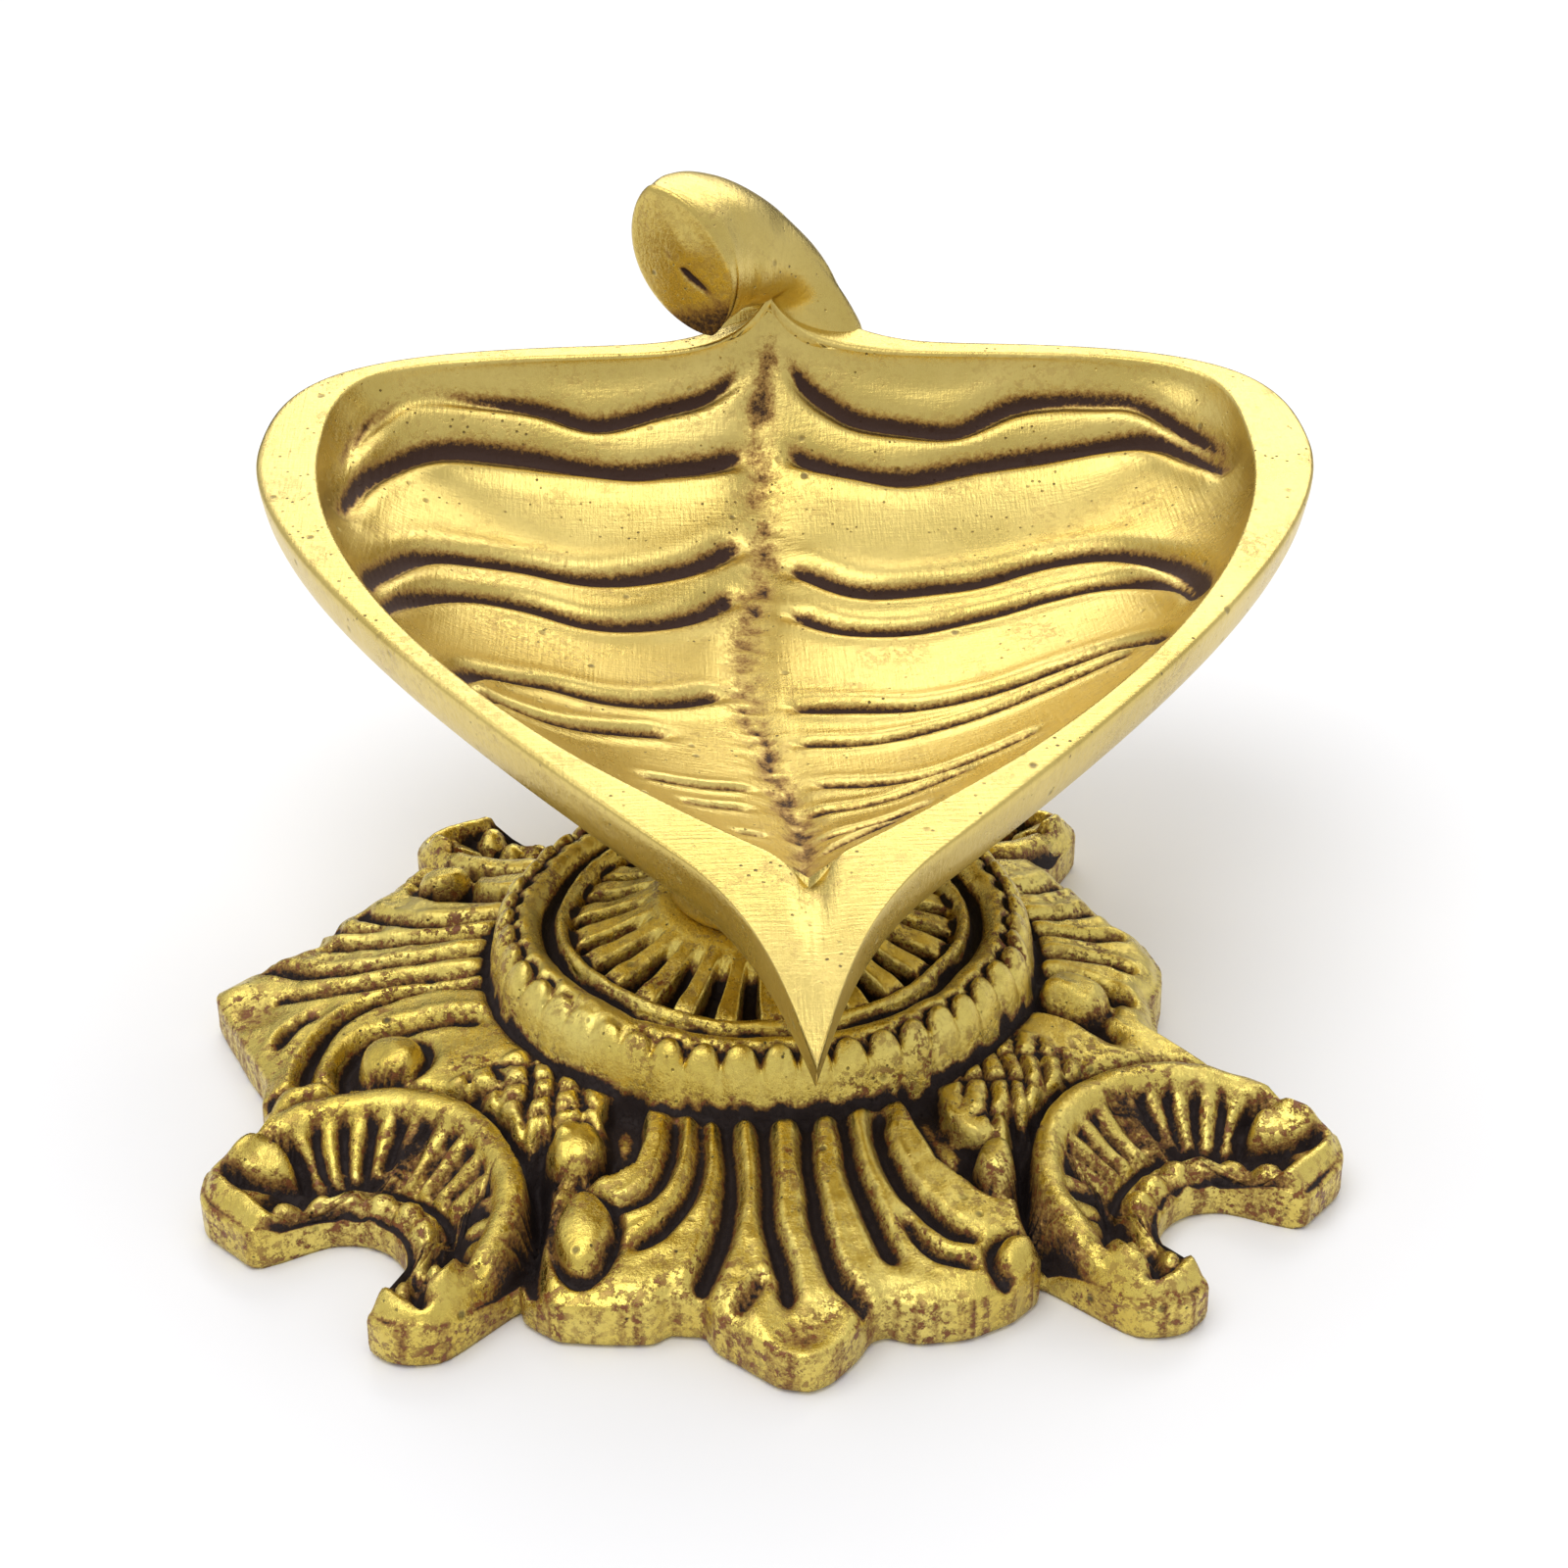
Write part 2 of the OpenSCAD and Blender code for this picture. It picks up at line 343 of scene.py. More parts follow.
class Sock:
    """A number's socket that takes part in expressions."""

    def __init__(self, tree: bpy.types.NodeTree, socket: bpy.types.NodeSocket) -> None:
        """Wrap a socket of a tree."""
        self.tree = tree
        self.socket = socket

    def math(self, operation: str, *others: "Sock | float", clamp: bool = False) -> "Sock":
        """A Math node on this value and others."""
        node = self.tree.nodes.new("ShaderNodeMath")
        node.operation = operation
        node.use_clamp = clamp
        for i, value in enumerate((self, *others)):
            if isinstance(value, Sock):
                self.tree.links.new(value.socket, node.inputs[i])
            else:
                node.inputs[i].default_value = value
        return Sock(self.tree, node.outputs[0])

    def __add__(self, other: "Sock | float") -> "Sock":
        """Sum."""
        return self.math("ADD", other)

    def __mul__(self, other: "Sock | float") -> "Sock":
        """Product."""
        return self.math("MULTIPLY", other)

    def __sub__(self, other: "Sock | float") -> "Sock":
        """Difference."""
        return self.math("SUBTRACT", other)

    def __rsub__(self, other: float) -> "Sock":
        """A number less this value."""
        return (self * -1.0) + other

    def over(self, low: float, high: float) -> "Sock":
        """0 below low, 1 above high, straight between them."""
        return ((self - low) * (1.0 / (high - low))).math("ADD", 0.0, clamp=True)

    def largest(self, other: "Sock | float") -> "Sock":
        """The larger of two values."""
        return self.math("MAXIMUM", other)


class Shader:
    """A material's node tree with one metal surface."""

    def __init__(self, name: str) -> None:
        """Start the material.

        Args:
            name: Name of the material.
        """
        self.material = bpy.data.materials.new(name)
        self.material.use_nodes = True
        self.tree = self.material.node_tree
        self.surface = self.tree.nodes["Principled BSDF"]

    def node(self, kind: str, settings: dict | None = None, **values: object) -> bpy.types.Node:
        """Any node, its settings first and then its sockets.

        Args:
            kind: Node type.
            settings: Attributes, such as a data type.
            values: Socket values or links, named as the sockets with _ for a blank.

        Returns:
            The node.
        """
        made = self.tree.nodes.new(kind)
        for key, value in (settings or {}).items():
            setattr(made, key, value)
        for key, value in values.items():
            self.plug(made.inputs[key.replace("_", " ")], value)
        return made

    def plug(self, socket: bpy.types.NodeSocket, value: object) -> None:
        """Link a socket to another, or set its number."""
        if isinstance(value, Sock):
            value = value.socket
        if isinstance(value, bpy.types.NodeSocket):
            self.tree.links.new(value, socket)
        else:
            socket.default_value = value

    def number(self, socket: bpy.types.NodeSocket) -> Sock:
        """A socket that expressions can use."""
        return Sock(self.tree, socket)

    def place(self, scale: tuple[float, float, float] = (1.0, 1.0, 1.0),
              turn: tuple[float, float, float] = (0.0, 0.0, 0.0)) -> bpy.types.NodeSocket:
        """Object coordinates in millimetres.

        Args:
            scale: Stretch along each axis.
            turn: Turn about each axis, in radians.

        Returns:
            The vector's socket.
        """
        coordinates = self.node("ShaderNodeTexCoord").outputs["Object"]
        size = tuple(s / MM for s in scale)
        return self.node("ShaderNodeMapping", Vector=coordinates, Scale=size,
                         Rotation=turn).outputs[0]

    def noise(self, vector: bpy.types.NodeSocket, scale: float, detail: float = 3.0,
              roughness: float = 0.5) -> Sock:
        """Noise.

        Args:
            vector: Where it is taken.
            scale: Blotches per millimetre.
            detail: Octaves.
            roughness: Share of the finer octaves.

        Returns:
            The noise, about 0.5 in the middle.
        """
        made = self.node("ShaderNodeTexNoise", Vector=vector, Scale=scale, Detail=detail,
                         Roughness=roughness)
        return self.number(made.outputs["Fac"])

    def cells(self, vector: bpy.types.NodeSocket, scale: float) -> Sock:
        """Distance to the nearest of scattered points, for pits."""
        made = self.node("ShaderNodeTexVoronoi", Vector=vector, Scale=scale)
        return self.number(made.outputs["Distance"])

    def mix(self, share: Sock, first: object, second: object) -> bpy.types.NodeSocket:
        """Colour between two.

        Args:
            share: 0 for the first colour, 1 for the second.
            first: Colour or socket.
            second: Colour or socket.

        Returns:
            The mixed colour's socket.
        """
        made = self.node("ShaderNodeMix", {"data_type": "RGBA"})
        self.plug(made.inputs["Factor"], share)
        self.plug(made.inputs[6], first)
        self.plug(made.inputs[7], second)
        return made.outputs[2]

    def relief(self, height: Sock, depth: float) -> bpy.types.NodeSocket:
        """Normal from a height between 0 and 1 that stands for a depth in millimetres."""
        made = self.node("ShaderNodeBump", Height=height, Distance=depth * MM)
        return made.outputs[0]


Colour = tuple[float, float, float, float]


@dataclass(frozen=True)
class CastBrass:
    """Cast brass with dark patina in its hollows.

    The metal runs from bright to deep and tarnish. The patina is dirt in the middle with a rust fringe.
    The last five values say how strong the pits, scratches, tarnish, rust freckles and cast skin are.
    """

    name: str
    bright: Colour
    deep: Colour
    tarnish: Colour
    dirt: Colour
    rust: Colour
    roughness: float
    pitted: float
    worn: float
    blotch: float
    freckled: float
    grain: float

    def make(self) -> bpy.types.Material:
        """Build the material.

        Returns:
            The material.
        """
        s = Shader(self.name)
        spot = s.place()
        # The attribute holds patina, and under the leaf's stem also painted shade; both darken the colour
        # alike.
        stain = s.number(s.node("ShaderNodeAttribute", {"attribute_name": PATINA_AND_SHADE}).outputs["Fac"])
        cloud = s.noise(spot, 0.09, 4.0, 0.55)
        speckle = s.noise(spot, 2.6, 4.0, 0.7)
        fine = s.noise(spot, 7.0, 3.0, 0.6)
        pits = 1.0 - s.cells(spot, 0.42).over(0.07, 0.15)
        small_pits = 1.0 - s.cells(s.place((1.0, 1.0, 1.0), (0.7, 0.3, 0.2)), 1.3).over(0.07, 0.16)
        gate = s.noise(spot, 0.16, 2.0).over(0.5, 0.66)
        holes = (pits * gate).largest(small_pits * s.noise(spot, 0.3, 2.0).over(0.5, 0.62))
        holes = holes * self.pitted
        near = (stain * 3.2 + s.noise(spot, 0.22, 3.0).over(0.46, 0.7) + 0.12).math("ADD", 0.0, clamp=True)
        freckle = s.noise(s.place((1.0, 1.0, 1.0), (0.2, 0.9, 0.4)), 1.5, 5.0, 0.74).over(0.5, 0.57) * near
        brass = s.mix(cloud.over(0.35, 0.68), self.deep, self.bright)
        brass = s.mix(speckle.over(0.5, 0.75) * self.blotch, brass, self.tarnish)
        edge = stain + (speckle - 0.5) * 0.55 + (fine - 0.5) * 0.25
        fringe = edge.over(0.18, 0.38)
        core = edge.over(0.38, 0.54)
        colour = s.mix((fringe * 0.85).largest(freckle * self.freckled), brass, self.rust)
        colour = s.mix(core, colour, self.dirt)
        colour = s.mix(holes * 0.85, colour, self.dirt)
        s.plug(s.surface.inputs["Base Color"], colour)
        dull = core.largest(holes).largest((fringe * 0.7).largest(freckle * self.freckled))
        s.plug(s.surface.inputs["Metallic"], 1.0 - dull * 0.8)
        rough = cloud.over(0.3, 0.7) * 0.1 + (speckle - 0.5) * 0.12 + self.roughness
        rough = (rough + fringe * 0.22 + core * 0.25 + holes * 0.3).math("ADD", 0.0, clamp=True)
        s.plug(s.surface.inputs["Roughness"], rough)
        scratch = s.noise(s.place((0.25, 3.2, 1.0), (0.0, 0.0, 0.5)), 1.4, 3.0, 0.6)
        brush = s.noise(s.place((4.0, 0.2, 1.0), (0.0, 0.0, -0.35)), 1.2, 2.0, 0.5)
        height = (speckle * self.grain + fine * 0.2 - freckle * self.freckled * 0.5
                  + scratch * self.worn + brush * self.worn - holes * 1.6 - core * speckle * 0.9)
        s.plug(s.surface.inputs["Normal"], s.relief(height, 0.06))
        return s.material


POLISHED_BRASS = CastBrass(
    name="polished_brass", bright=(0.74, 0.58, 0.19, 1), deep=(0.62, 0.47, 0.13, 1),
    tarnish=(0.50, 0.36, 0.10, 1), dirt=(0.04, 0.014, 0.007, 1), rust=(0.27, 0.12, 0.02, 1),
    roughness=0.24, pitted=0.9, worn=0.45, blotch=0.35, freckled=0.3, grain=0.3)
ANTIQUE_BRASS = CastBrass(
    name="antique_brass", bright=(0.82, 0.67, 0.19, 1), deep=(0.68, 0.51, 0.10, 1),
    tarnish=(0.42, 0.27, 0.06, 1), dirt=(0.014, 0.005, 0.004, 1), rust=(0.2, 0.062, 0.01, 1),
    roughness=0.22, pitted=1.0, worn=0.3, blotch=0.5, freckled=1.0, grain=1.0)


@dataclass(frozen=True)
class ZincPlate:
    """Zinc-plated steel with turned marks."""

    name: str = "zinc_plate"
    tone: Colour = (0.62, 0.64, 0.66, 1.0)
    dull: Colour = (0.36, 0.37, 0.4, 1.0)

    def make(self) -> bpy.types.Material:
        """Build the material.

        Returns:
            The material.
        """
        s = Shader(self.name)
        spot = s.place()
        cloud = s.noise(spot, 0.5, 4.0, 0.6)
        grit = s.noise(spot, 6.0, 3.0, 0.6)
        colour = s.mix(cloud.over(0.4, 0.65), self.dull, self.tone)
        s.plug(s.surface.inputs["Base Color"], colour)
        s.plug(s.surface.inputs["Metallic"], 1.0)
        s.plug(s.surface.inputs["Roughness"], cloud * 0.25 + grit * 0.15 + 0.15)
        s.plug(s.surface.inputs["Normal"], s.relief(grit, 0.03))
        return s.material


@dataclass(frozen=True)
class PaleFloor:
    """Matt white studio sheet."""

    name: str = "studio_sheet"
    tone: Colour = (0.9, 0.9, 0.92, 1.0)

    def make(self) -> bpy.types.Material:
        """Build the material.

        Returns:
            The material.
        """
        s = Shader(self.name)
        grain = s.noise(s.place(), 0.02, 3.0)
        colour = s.mix(grain, self.tone, tuple(c * 0.985 for c in self.tone[:3]) + (1.0,))
        s.plug(s.surface.inputs["Base Color"], colour)
        s.plug(s.surface.inputs["Roughness"], 0.75)
        return s.material


# ---------------------------------------------------------------- the leaf bowl

Line = tuple[tuple[float, float], ...]

VEINS: tuple[Stroke, ...] = (
    Stroke(((-3, 42.5), (-8, 41.5), (-15, 40.5), (-22, 41.2), (-28, 41), (-31, 39.5), (-33.5, 36),
            (-34.5, 30), (-34.8, 25)), 0.75, 0.9),
    Stroke(((-3, 38.5), (-8, 37.5), (-13, 37), (-20, 37.8), (-26, 38), (-29.5, 36.5), (-31.8, 33),
            (-33.3, 28), (-34.2, 22.5)), 1.0, 1.2),
    Stroke(((-3.5, 30.5), (-6, 28.5), (-10, 27), (-15, 26), (-20, 26.3), (-25, 26), (-28.5, 23.5),
            (-30.3, 18), (-31, 11)), 1.15, 1.2),
    Stroke(((-4, 25), (-7, 22.5), (-11, 21), (-15, 20.3), (-20, 21), (-24, 20.5), (-27, 18),
            (-29, 13.5), (-29.5, 9)), 1.1, 1.2),
    Stroke(((-5, 12), (-9, 10), (-14, 9), (-18, 9.5), (-22, 8), (-23.3, 5.5), (-23.5, 1)), 1.0, 1.1),
    Stroke(((-9, 5), (-13, 4), (-17, 3), (-21, 3), (-22, 1)), 0.85, 1.0),
    Stroke(((-3, -1.5), (-7, -2.5), (-11, -3)), 0.5, 0.6),
    Stroke(((-3, -5), (-6, -5.8), (-8, -6)), 0.45, 0.5),
    Stroke(((-2, -9), (-3, -9.6), (-4.4, -10)), 0.4, 0.5),
    Stroke(((0, 42.5), (5, 41), (10, 39.8), (14, 40), (19, 41.5), (24, 41.5), (28, 40.5), (31, 38),
            (33.5, 34), (34.8, 29)), 0.85, 1.0),
    Stroke(((0, 38.5), (5, 37), (10, 36.5), (16, 37.5), (22, 38), (27, 37.8), (30.5, 36), (33, 32),
            (34.5, 28)), 0.9, 1.1),
    Stroke(((0, 28), (4, 26), (8, 25), (13, 25.5), (19, 26.3), (24, 26), (27, 24), (29, 20),
            (30, 15), (30, 11)), 1.05, 1.1),
    Stroke(((0, 22.5), (4, 20.5), (9, 20), (15, 20.8), (20, 21.3), (24, 21), (27, 19), (29, 15),
            (29.5, 11)), 0.85, 1.0),
    Stroke(((0, 10.5), (4, 9.5), (9, 9), (14, 9.5), (19, 10.5), (23, 10.5), (25.5, 8.5), (26, 6.5)),
           0.8, 1.0),
    Stroke(((0, 5.2), (4, 4.8), (9, 4.8), (14, 6), (18, 7.5), (22, 8.3), (24, 8)), 0.6, 0.8),
    Stroke(((1, -0.5), (5, -1.8), (9, -2.3), (13, -1), (17, 0.5)), 0.6, 0.7),
    Stroke(((0, -4.8), (4, -5), (8, -4.5), (12, -3)), 0.5, 0.6),
    Stroke(((1, -9), (5, -8.8), (9, -7.5)), 0.45, 0.5),
    Stroke(((1, -12), (4, -10.5), (7, -9)), 0.4, 0.4),
)
MIDRIB = Stroke(((-1.5, 50), (-1.8, 42), (-2, 35), (-1.8, 28), (-3, 22), (-3.3, 15), (-3, 8),
                 (-1.8, 2), (-1.2, -2), (0, -7), (0.3, -15), (0.4, -21)), 1.0, 1.1, 3.0)


# The stem's middle line in the rim's plane, with half width, half height and lean at each place.
STEM: tuple[tuple[float, ...], ...] = (
    (0.2, 45.2, -6.0, 3.4, 0.8, 0), (0.4, 46.3, -2.6, 5.9, 1.6, 0), (0.7, 47.8, 0.2, 6.1, 2.6, 0),
    (0.6, 48.8, 2.4, 4.4, 3.0, 0), (-0.2, 49.0, 4.6, 3.6, 3.5, 0), (-1.9, 48.3, 6.3, 3.5, 4.4, 4),
    (-3.9, 47.1, 7.6, 3.8, 5.2, 10), (-5.7, 45.6, 8.3, 4.1, 5.9, 16), (-7.1, 44.1, 8.5, 4.4, 6.3, 20),
    (-7.9, 42.8, 8.4, 4.3, 6.5, 21),
)
# Rings of the bud's cut face: share of its outline, and how far it stands out.
BUD_FACE: tuple[tuple[float, float], ...] = (
    (0.985, 0.16), (0.95, 0.27), (0.9, 0.33), (0.8, 0.42), (0.66, 0.53), (0.5, 0.66), (0.33, 0.78),
    (0.16, 0.87),
)
# The way across the stem, before it is squared to the stem's run.
STEM_SIDE = np.array([1.0, -0.12, 0.05])
# Depth shares of the bowl's outside, from the rim to the bottom, and their shares of the outline.
WALL_FALLS = (1, 0.975, 0.9, 0.77, 0.6, 0.45, 0.32, 0.2, 0.05)
WALL_SHARES = (0, 0.2, 0.4, 0.6, 0.78, 0.9, 0.965, 0.99, 1.0)


@dataclass
class LeafBowl:
    """The leaf with its veined basin, flat rim, pouring tip and curled stem.

    Attributes:
        length: Length of the outline, from the rear to the tip.
        width: Width of the outline.
        depth: Depth of the basin under the rim's plane.
        floor: Metal under the deepest spot.
        rim: Width of the flat rim.
        to_screw: From the screw back to the rear of the outline.
        tilt: Rise of the rim's plane to the rear.
        turn: Turn of the leaf on its screw.
        shift: Sideways place of the leaf over the screw.
        rim_height: Height of the rim's plane at the screw.
        seat: Height of the boss's foot.
        boss: Radius of the boss.
        bore: Radius of the tapped hole.
        rows: Rows of the basin's mesh, from the rear to the tip.
        columns: Faces across it.
        soft_edge: Rounding of the rim's edges.
        stem_sides: Sides of the stem.
        skin: The mesh so far.
    """

    length: float = 83.5
    width: float = 80.0
    depth: float = 11.0
    floor: float = 2.8
    rim: float = 4.6
    to_screw: float = 45.5
    tilt: float = math.radians(9.0)
    turn: float = math.radians(-2.0)
    shift: float = 2.4
    rim_height: float = 29.6
    seat: float = 11.5
    boss: float = 6.5
    bore: float = 2.05
    rows: int = 262
    columns: int = 104
    soft_edge: float = 0.34
    stem_sides: int = 72
    skin: Skin = field(default_factory=Skin)

    @property
    def deepest(self) -> float:
        """Rearward place of the basin's deepest spot."""
        return self.to_screw - 0.36 * self.length

    def arcs(self, inner: bool) -> list[list[tuple[float, float]]]:
        """Control points of a half outline, as shares of the length and of the half width."""
        if not inner:
            return [[(0, 0.12), (0, 0.84), (0.04, 1), (0.2, 1)],
                    [(0.2, 1), (0.36, 1), (0.6, 0.58), (0.8, 0.19)],
                    [(0.8, 0.19), (0.86, 0.08), (0.93, 0.04), (1, 0)]]
        side = 1 - self.rim / (self.width / 2)
        rear = 2.2 / self.length
        return [[(rear, 0.1), (rear, 0.93 * side), (0.04, side + 0.01), (0.19, side)],
                [(0.19, side), (0.36, side), (0.6, 0.7 * side), (0.79, 0.06)],
                [(0.79, 0.06), (0.8, 0.04), (0.81, 0.02), (0.82, 0)]]

    def half(self, inner: bool) -> Array:
        """Dense half outline from the rear to the tip, as rows of sideways and rearward position."""
        t = np.linspace(0, 1, 400)[:, None]
        rows = []
        for arc in self.arcs(inner):
            p = np.asarray(arc, float)
            rows.append((1 - t) ** 3 * p[0] + 3 * (1 - t) ** 2 * t * p[1]
                        + 3 * (1 - t) * t * t * p[2] + t**3 * p[3])
        q = np.vstack([rows[0], rows[1][1:], rows[2][1:]])
        return np.stack([q[:, 1] * self.width / 2, self.to_screw - q[:, 0] * self.length], 1)

    def gauge(self, x: Array, y: Array, inner: bool) -> Array:
        """Share of the way from the deepest spot to an outline.

        Args:
            x: Sideways positions.
            y: Rearward positions.
            inner: The basin's outline rather than the leaf's.

        Returns:
            The shares, 1 on the outline.
        """
        line = self.half(inner)
        whole = np.vstack([line, line[::-1] * (-1, 1)])
        deep = self.deepest
        angle = np.arctan2(whole[:, 1] - deep, whole[:, 0])
        order = np.argsort(angle)
        reach = np.hypot(whole[:, 0], whole[:, 1] - deep)[order]
        here = np.arctan2(y - deep, x)
        return np.hypot(x, y - deep) / np.interp(here, angle[order], reach, period=2 * math.pi)

    def carve(self, x: Array, y: Array) -> tuple[Array, Array]:
        """Relief of the veins.

        Args:
            x: Sideways positions.
            y: Rearward positions.

        Returns:
            The height that the veins add, and the patina that lies in them.
        """
        x = x + 0.3 * Grain(6.0, 3).at(x, y)
        y = y + 0.35 * Grain(5.0, 4).at(x, y)
        relief = np.zeros(x.shape)
        stain = np.zeros(x.shape)
        fleck = Grain(0.8, 5).at(x, y)
        for vein in VEINS:
            away, side, fade = vein.field(x, y)
            rearward = side * (1 if vein.points[0][0] < vein.points[-1][0] else -1) > 0
            spread = np.where(rearward, 0.62, 1.0) * vein.width
            cut = np.exp(-((away / spread) ** 2))
            lip = bell(away - 1.75 * vein.width, 0.8 * vein.width) * np.where(rearward, 0.3, 0.55)
            relief += fade * (vein.depth * (0.42 * lip - cut))
            ink = bell(away + 0.07 * fleck, np.where(rearward, 0.62, 0.45) * vein.width)
            ink = ink * (0.86 + 0.12 * fleck)
            stain = np.maximum(stain, fade * ink * min(1.0, 0.75 + 0.25 * vein.depth))
        away, _, fade = MIDRIB.field(x, y)
        rough = 0.5 + 0.5 * Grain(0.7, 9).at(x, y)
        worn = bell(away, 1.5) * fade
        relief -= worn * (0.25 + 0.4 * rough) * MIDRIB.depth
        stain = np.maximum(stain, worn * (0.12 + 0.5 * rough))
        return relief, stain

    def pull(self, x: Array, y: Array, outward: Array) -> tuple[Array, Array]:
        """How far the rear of the rim is drawn back and up into the stem.

        Args:
            x: Sideways positions.
            y: Rearward positions.
            outward: 0 at the basin's edge, 1 at the outer edge.

        Returns:
            The rearward and the upward shift.
        """
        cusp = np.exp(-np.abs(x + 1.0) / 2.7) * smooth(y, 36.5, 43.4)
        swell = bell(x - 0.6, 6.4) * smooth(y, 38.0, 44.0)
        back = (1 - outward) * 2.5 * cusp + outward * 2.8 * swell
        up = (1 - outward) * (4.0 * cusp + 0.25 * swell) + outward * 1.6 * swell
        return back, up

    def basin(self) -> Array:
        """The veined inside, row by row.

        Returns:
            Vertex numbers of the basin's edge loop, ending at the front apex's left neighbour.
        """
        line = self.half(True)
        step = np.abs(np.diff(line, axis=0))
        run = np.concatenate([[0], np.cumsum(step[:, 1] + 0.35 * step[:, 0])])
        at = np.linspace(0, run[-1], self.rows + 1)[:-1]
        y = np.interp(at, run, line[:, 1])
        w = np.interp(at, run, line[:, 0])
        c = np.linspace(-1, 1, self.columns + 1)
        c = c * (1.22 - 0.22 * c * c)
        gx = w[:, None] * c[None, :]
        gy = np.repeat(y[:, None], self.columns + 1, 1)
        r = np.clip(self.gauge(gx, gy, True), 0, 1)
        r[:, 0] = r[:, -1] = r[0, :] = 1.0
        fall = self.depth * (1 - r**2.4) ** 0.68
        relief, stain = self.carve(gx, gy)
        calm = smooth(1 - r, 0.0, 0.07)
        z = -fall - 0.3 + relief * calm
        back, up = self.pull(gx, gy, np.zeros(gx.shape))
        points = np.stack([gx, gy + back, z + up], -1)
        numbers = self.skin.add(points, (stain * calm).ravel()).reshape(gx.shape)
        for k in range(self.rows - 1):
            self.skin.bridge(numbers[k], numbers[k + 1], closed=False)
        apex = self.skin.add(np.array([[0.0, line[-1, 1], -0.3]]))
        tip = int(apex[0])
        self.skin.faces += [(int(a), int(b), tip) for a, b in zip(numbers[-1][:-1], numbers[-1][1:])]
        self.flat = np.concatenate([
            np.stack([gx[0], gy[0]], 1), np.stack([gx[1:, -1], gy[1:, -1]], 1),
            [[0.0, line[-1, 1]]], np.stack([gx[1:, 0], gy[1:, 0]], 1)[::-1]])
        return np.concatenate([numbers[0], numbers[1:, -1], apex, numbers[1:, 0][::-1]])

    def partner(self) -> Array:
        """The point of the outer outline that faces each point of the basin's edge."""
        line = self.half(False)
        step = np.hypot(*np.diff(line, axis=0).T)
        run = np.concatenate([[0], np.cumsum(step)]) / step.sum()
        flank = self.flat[self.columns : self.columns + self.rows + 1]
        share = np.zeros(len(flank))
        for i, p in enumerate(flank):
            share[i] = run[np.argmin(np.hypot(*(line - p).T))]
        share = np.maximum.accumulate(share)
        k = np.linspace(0, 1, len(share))
        ease = smooth(k, 0.8, 1.0)
        share = share * (1 - ease) + ease
        share = np.convolve(np.pad(share, 7, mode="edge"), np.ones(15) / 15, "valid")
        share[0], share[-1] = 0.0, 1.0
        right = np.stack([np.interp(share, run, line[:, 0]), np.interp(share, run, line[:, 1])], 1)
        rear = self.flat[: self.columns + 1] * (1.2, 1.0)
        rear[:, 1] = self.to_screw
        return np.concatenate([rear, right[1:], (right[1:-1] * (-1, 1))[::-1]])

    def rim_strip(self, loop: Array, outer: Array) -> list[Array]:
        """The flat rim with its rounded edges.

        Args:
            loop: The basin's edge.
            outer: Plan of the outer edge.

        Returns:
            Rows of vertex numbers, from the basin's edge to the outer edge.
        """
        rows = [loop]
        inner = self.flat
        wide = np.hypot(*(outer - inner).T)
        soft = self.soft_edge
        marks = [("in", 0.12), ("in", 0.3), ("in", 0.6), ("mid", 0.33), ("mid", 0.67),
                 ("out", 0.6), ("out", 0.3), ("out", 0.1), ("out", 0.0)]
        for kind, value in marks:
            if kind == "in":
                share = np.minimum(value / wide, 0.2 + 0.2 * value)
            elif kind == "out":
                share = 1 - np.minimum(value / wide, 0.4 * value)
            else:
                share = np.full(len(wide), value)
            plan = inner + (outer - inner) * share[:, None]
            gap = np.minimum(share, 1 - share) * wide
            round_off = soft - np.sqrt(np.clip(soft**2 - (soft - np.minimum(gap, soft)) ** 2, 0, None))
            lip = -0.012 * np.clip(-plan[:, 1] - 27.0, 0, None) ** 2
            gutter = smooth(plan[:, 1], -29.5, -23.0) * smooth(-plan[:, 1], 20, 22)
            lip -= 0.9 * bell(plan[:, 0] - 0.3, 1.1) * gutter
            back, up = self.pull(plan[:, 0], plan[:, 1], share)
            z = lip - 0.8 * round_off + up
            rows.append(self.skin.add(np.stack([plan[:, 0], plan[:, 1] + back, z], 1)))
            self.skin.bridge(rows[-2], rows[-1])
        return rows

    def to_part(self, p: Array) -> Array:
        """Points of the rim's own plane, set over the screw in the part's frame."""
        q = p.copy()
        q[:, 1] = p[:, 1] * math.cos(self.tilt) - p[:, 2] * math.sin(self.tilt)
        q[:, 2] = p[:, 1] * math.sin(self.tilt) + p[:, 2] * math.cos(self.tilt) + self.rim_height
        q[:, 0] += self.shift
        c, s = math.cos(self.turn), math.sin(self.turn)
        x, y = q[:, 0] * c - q[:, 1] * s, q[:, 0] * s + q[:, 1] * c
        q[:, 0], q[:, 1] = x + SCREW_X, y + SCREW_Y
        return q

    def from_part(self, p: Array) -> Array:
        """The reverse of to_part."""
        x, y = p[:, 0] - SCREW_X, p[:, 1] - SCREW_Y
        c, s = math.cos(-self.turn), math.sin(-self.turn)
        q = np.stack([x * c - y * s - self.shift, x * s + y * c, p[:, 2] - self.rim_height], 1)
        c, s = math.cos(-self.tilt), math.sin(-self.tilt)
        return np.stack([q[:, 0], q[:, 1] * c - q[:, 2] * s, q[:, 1] * s + q[:, 2] * c], 1)

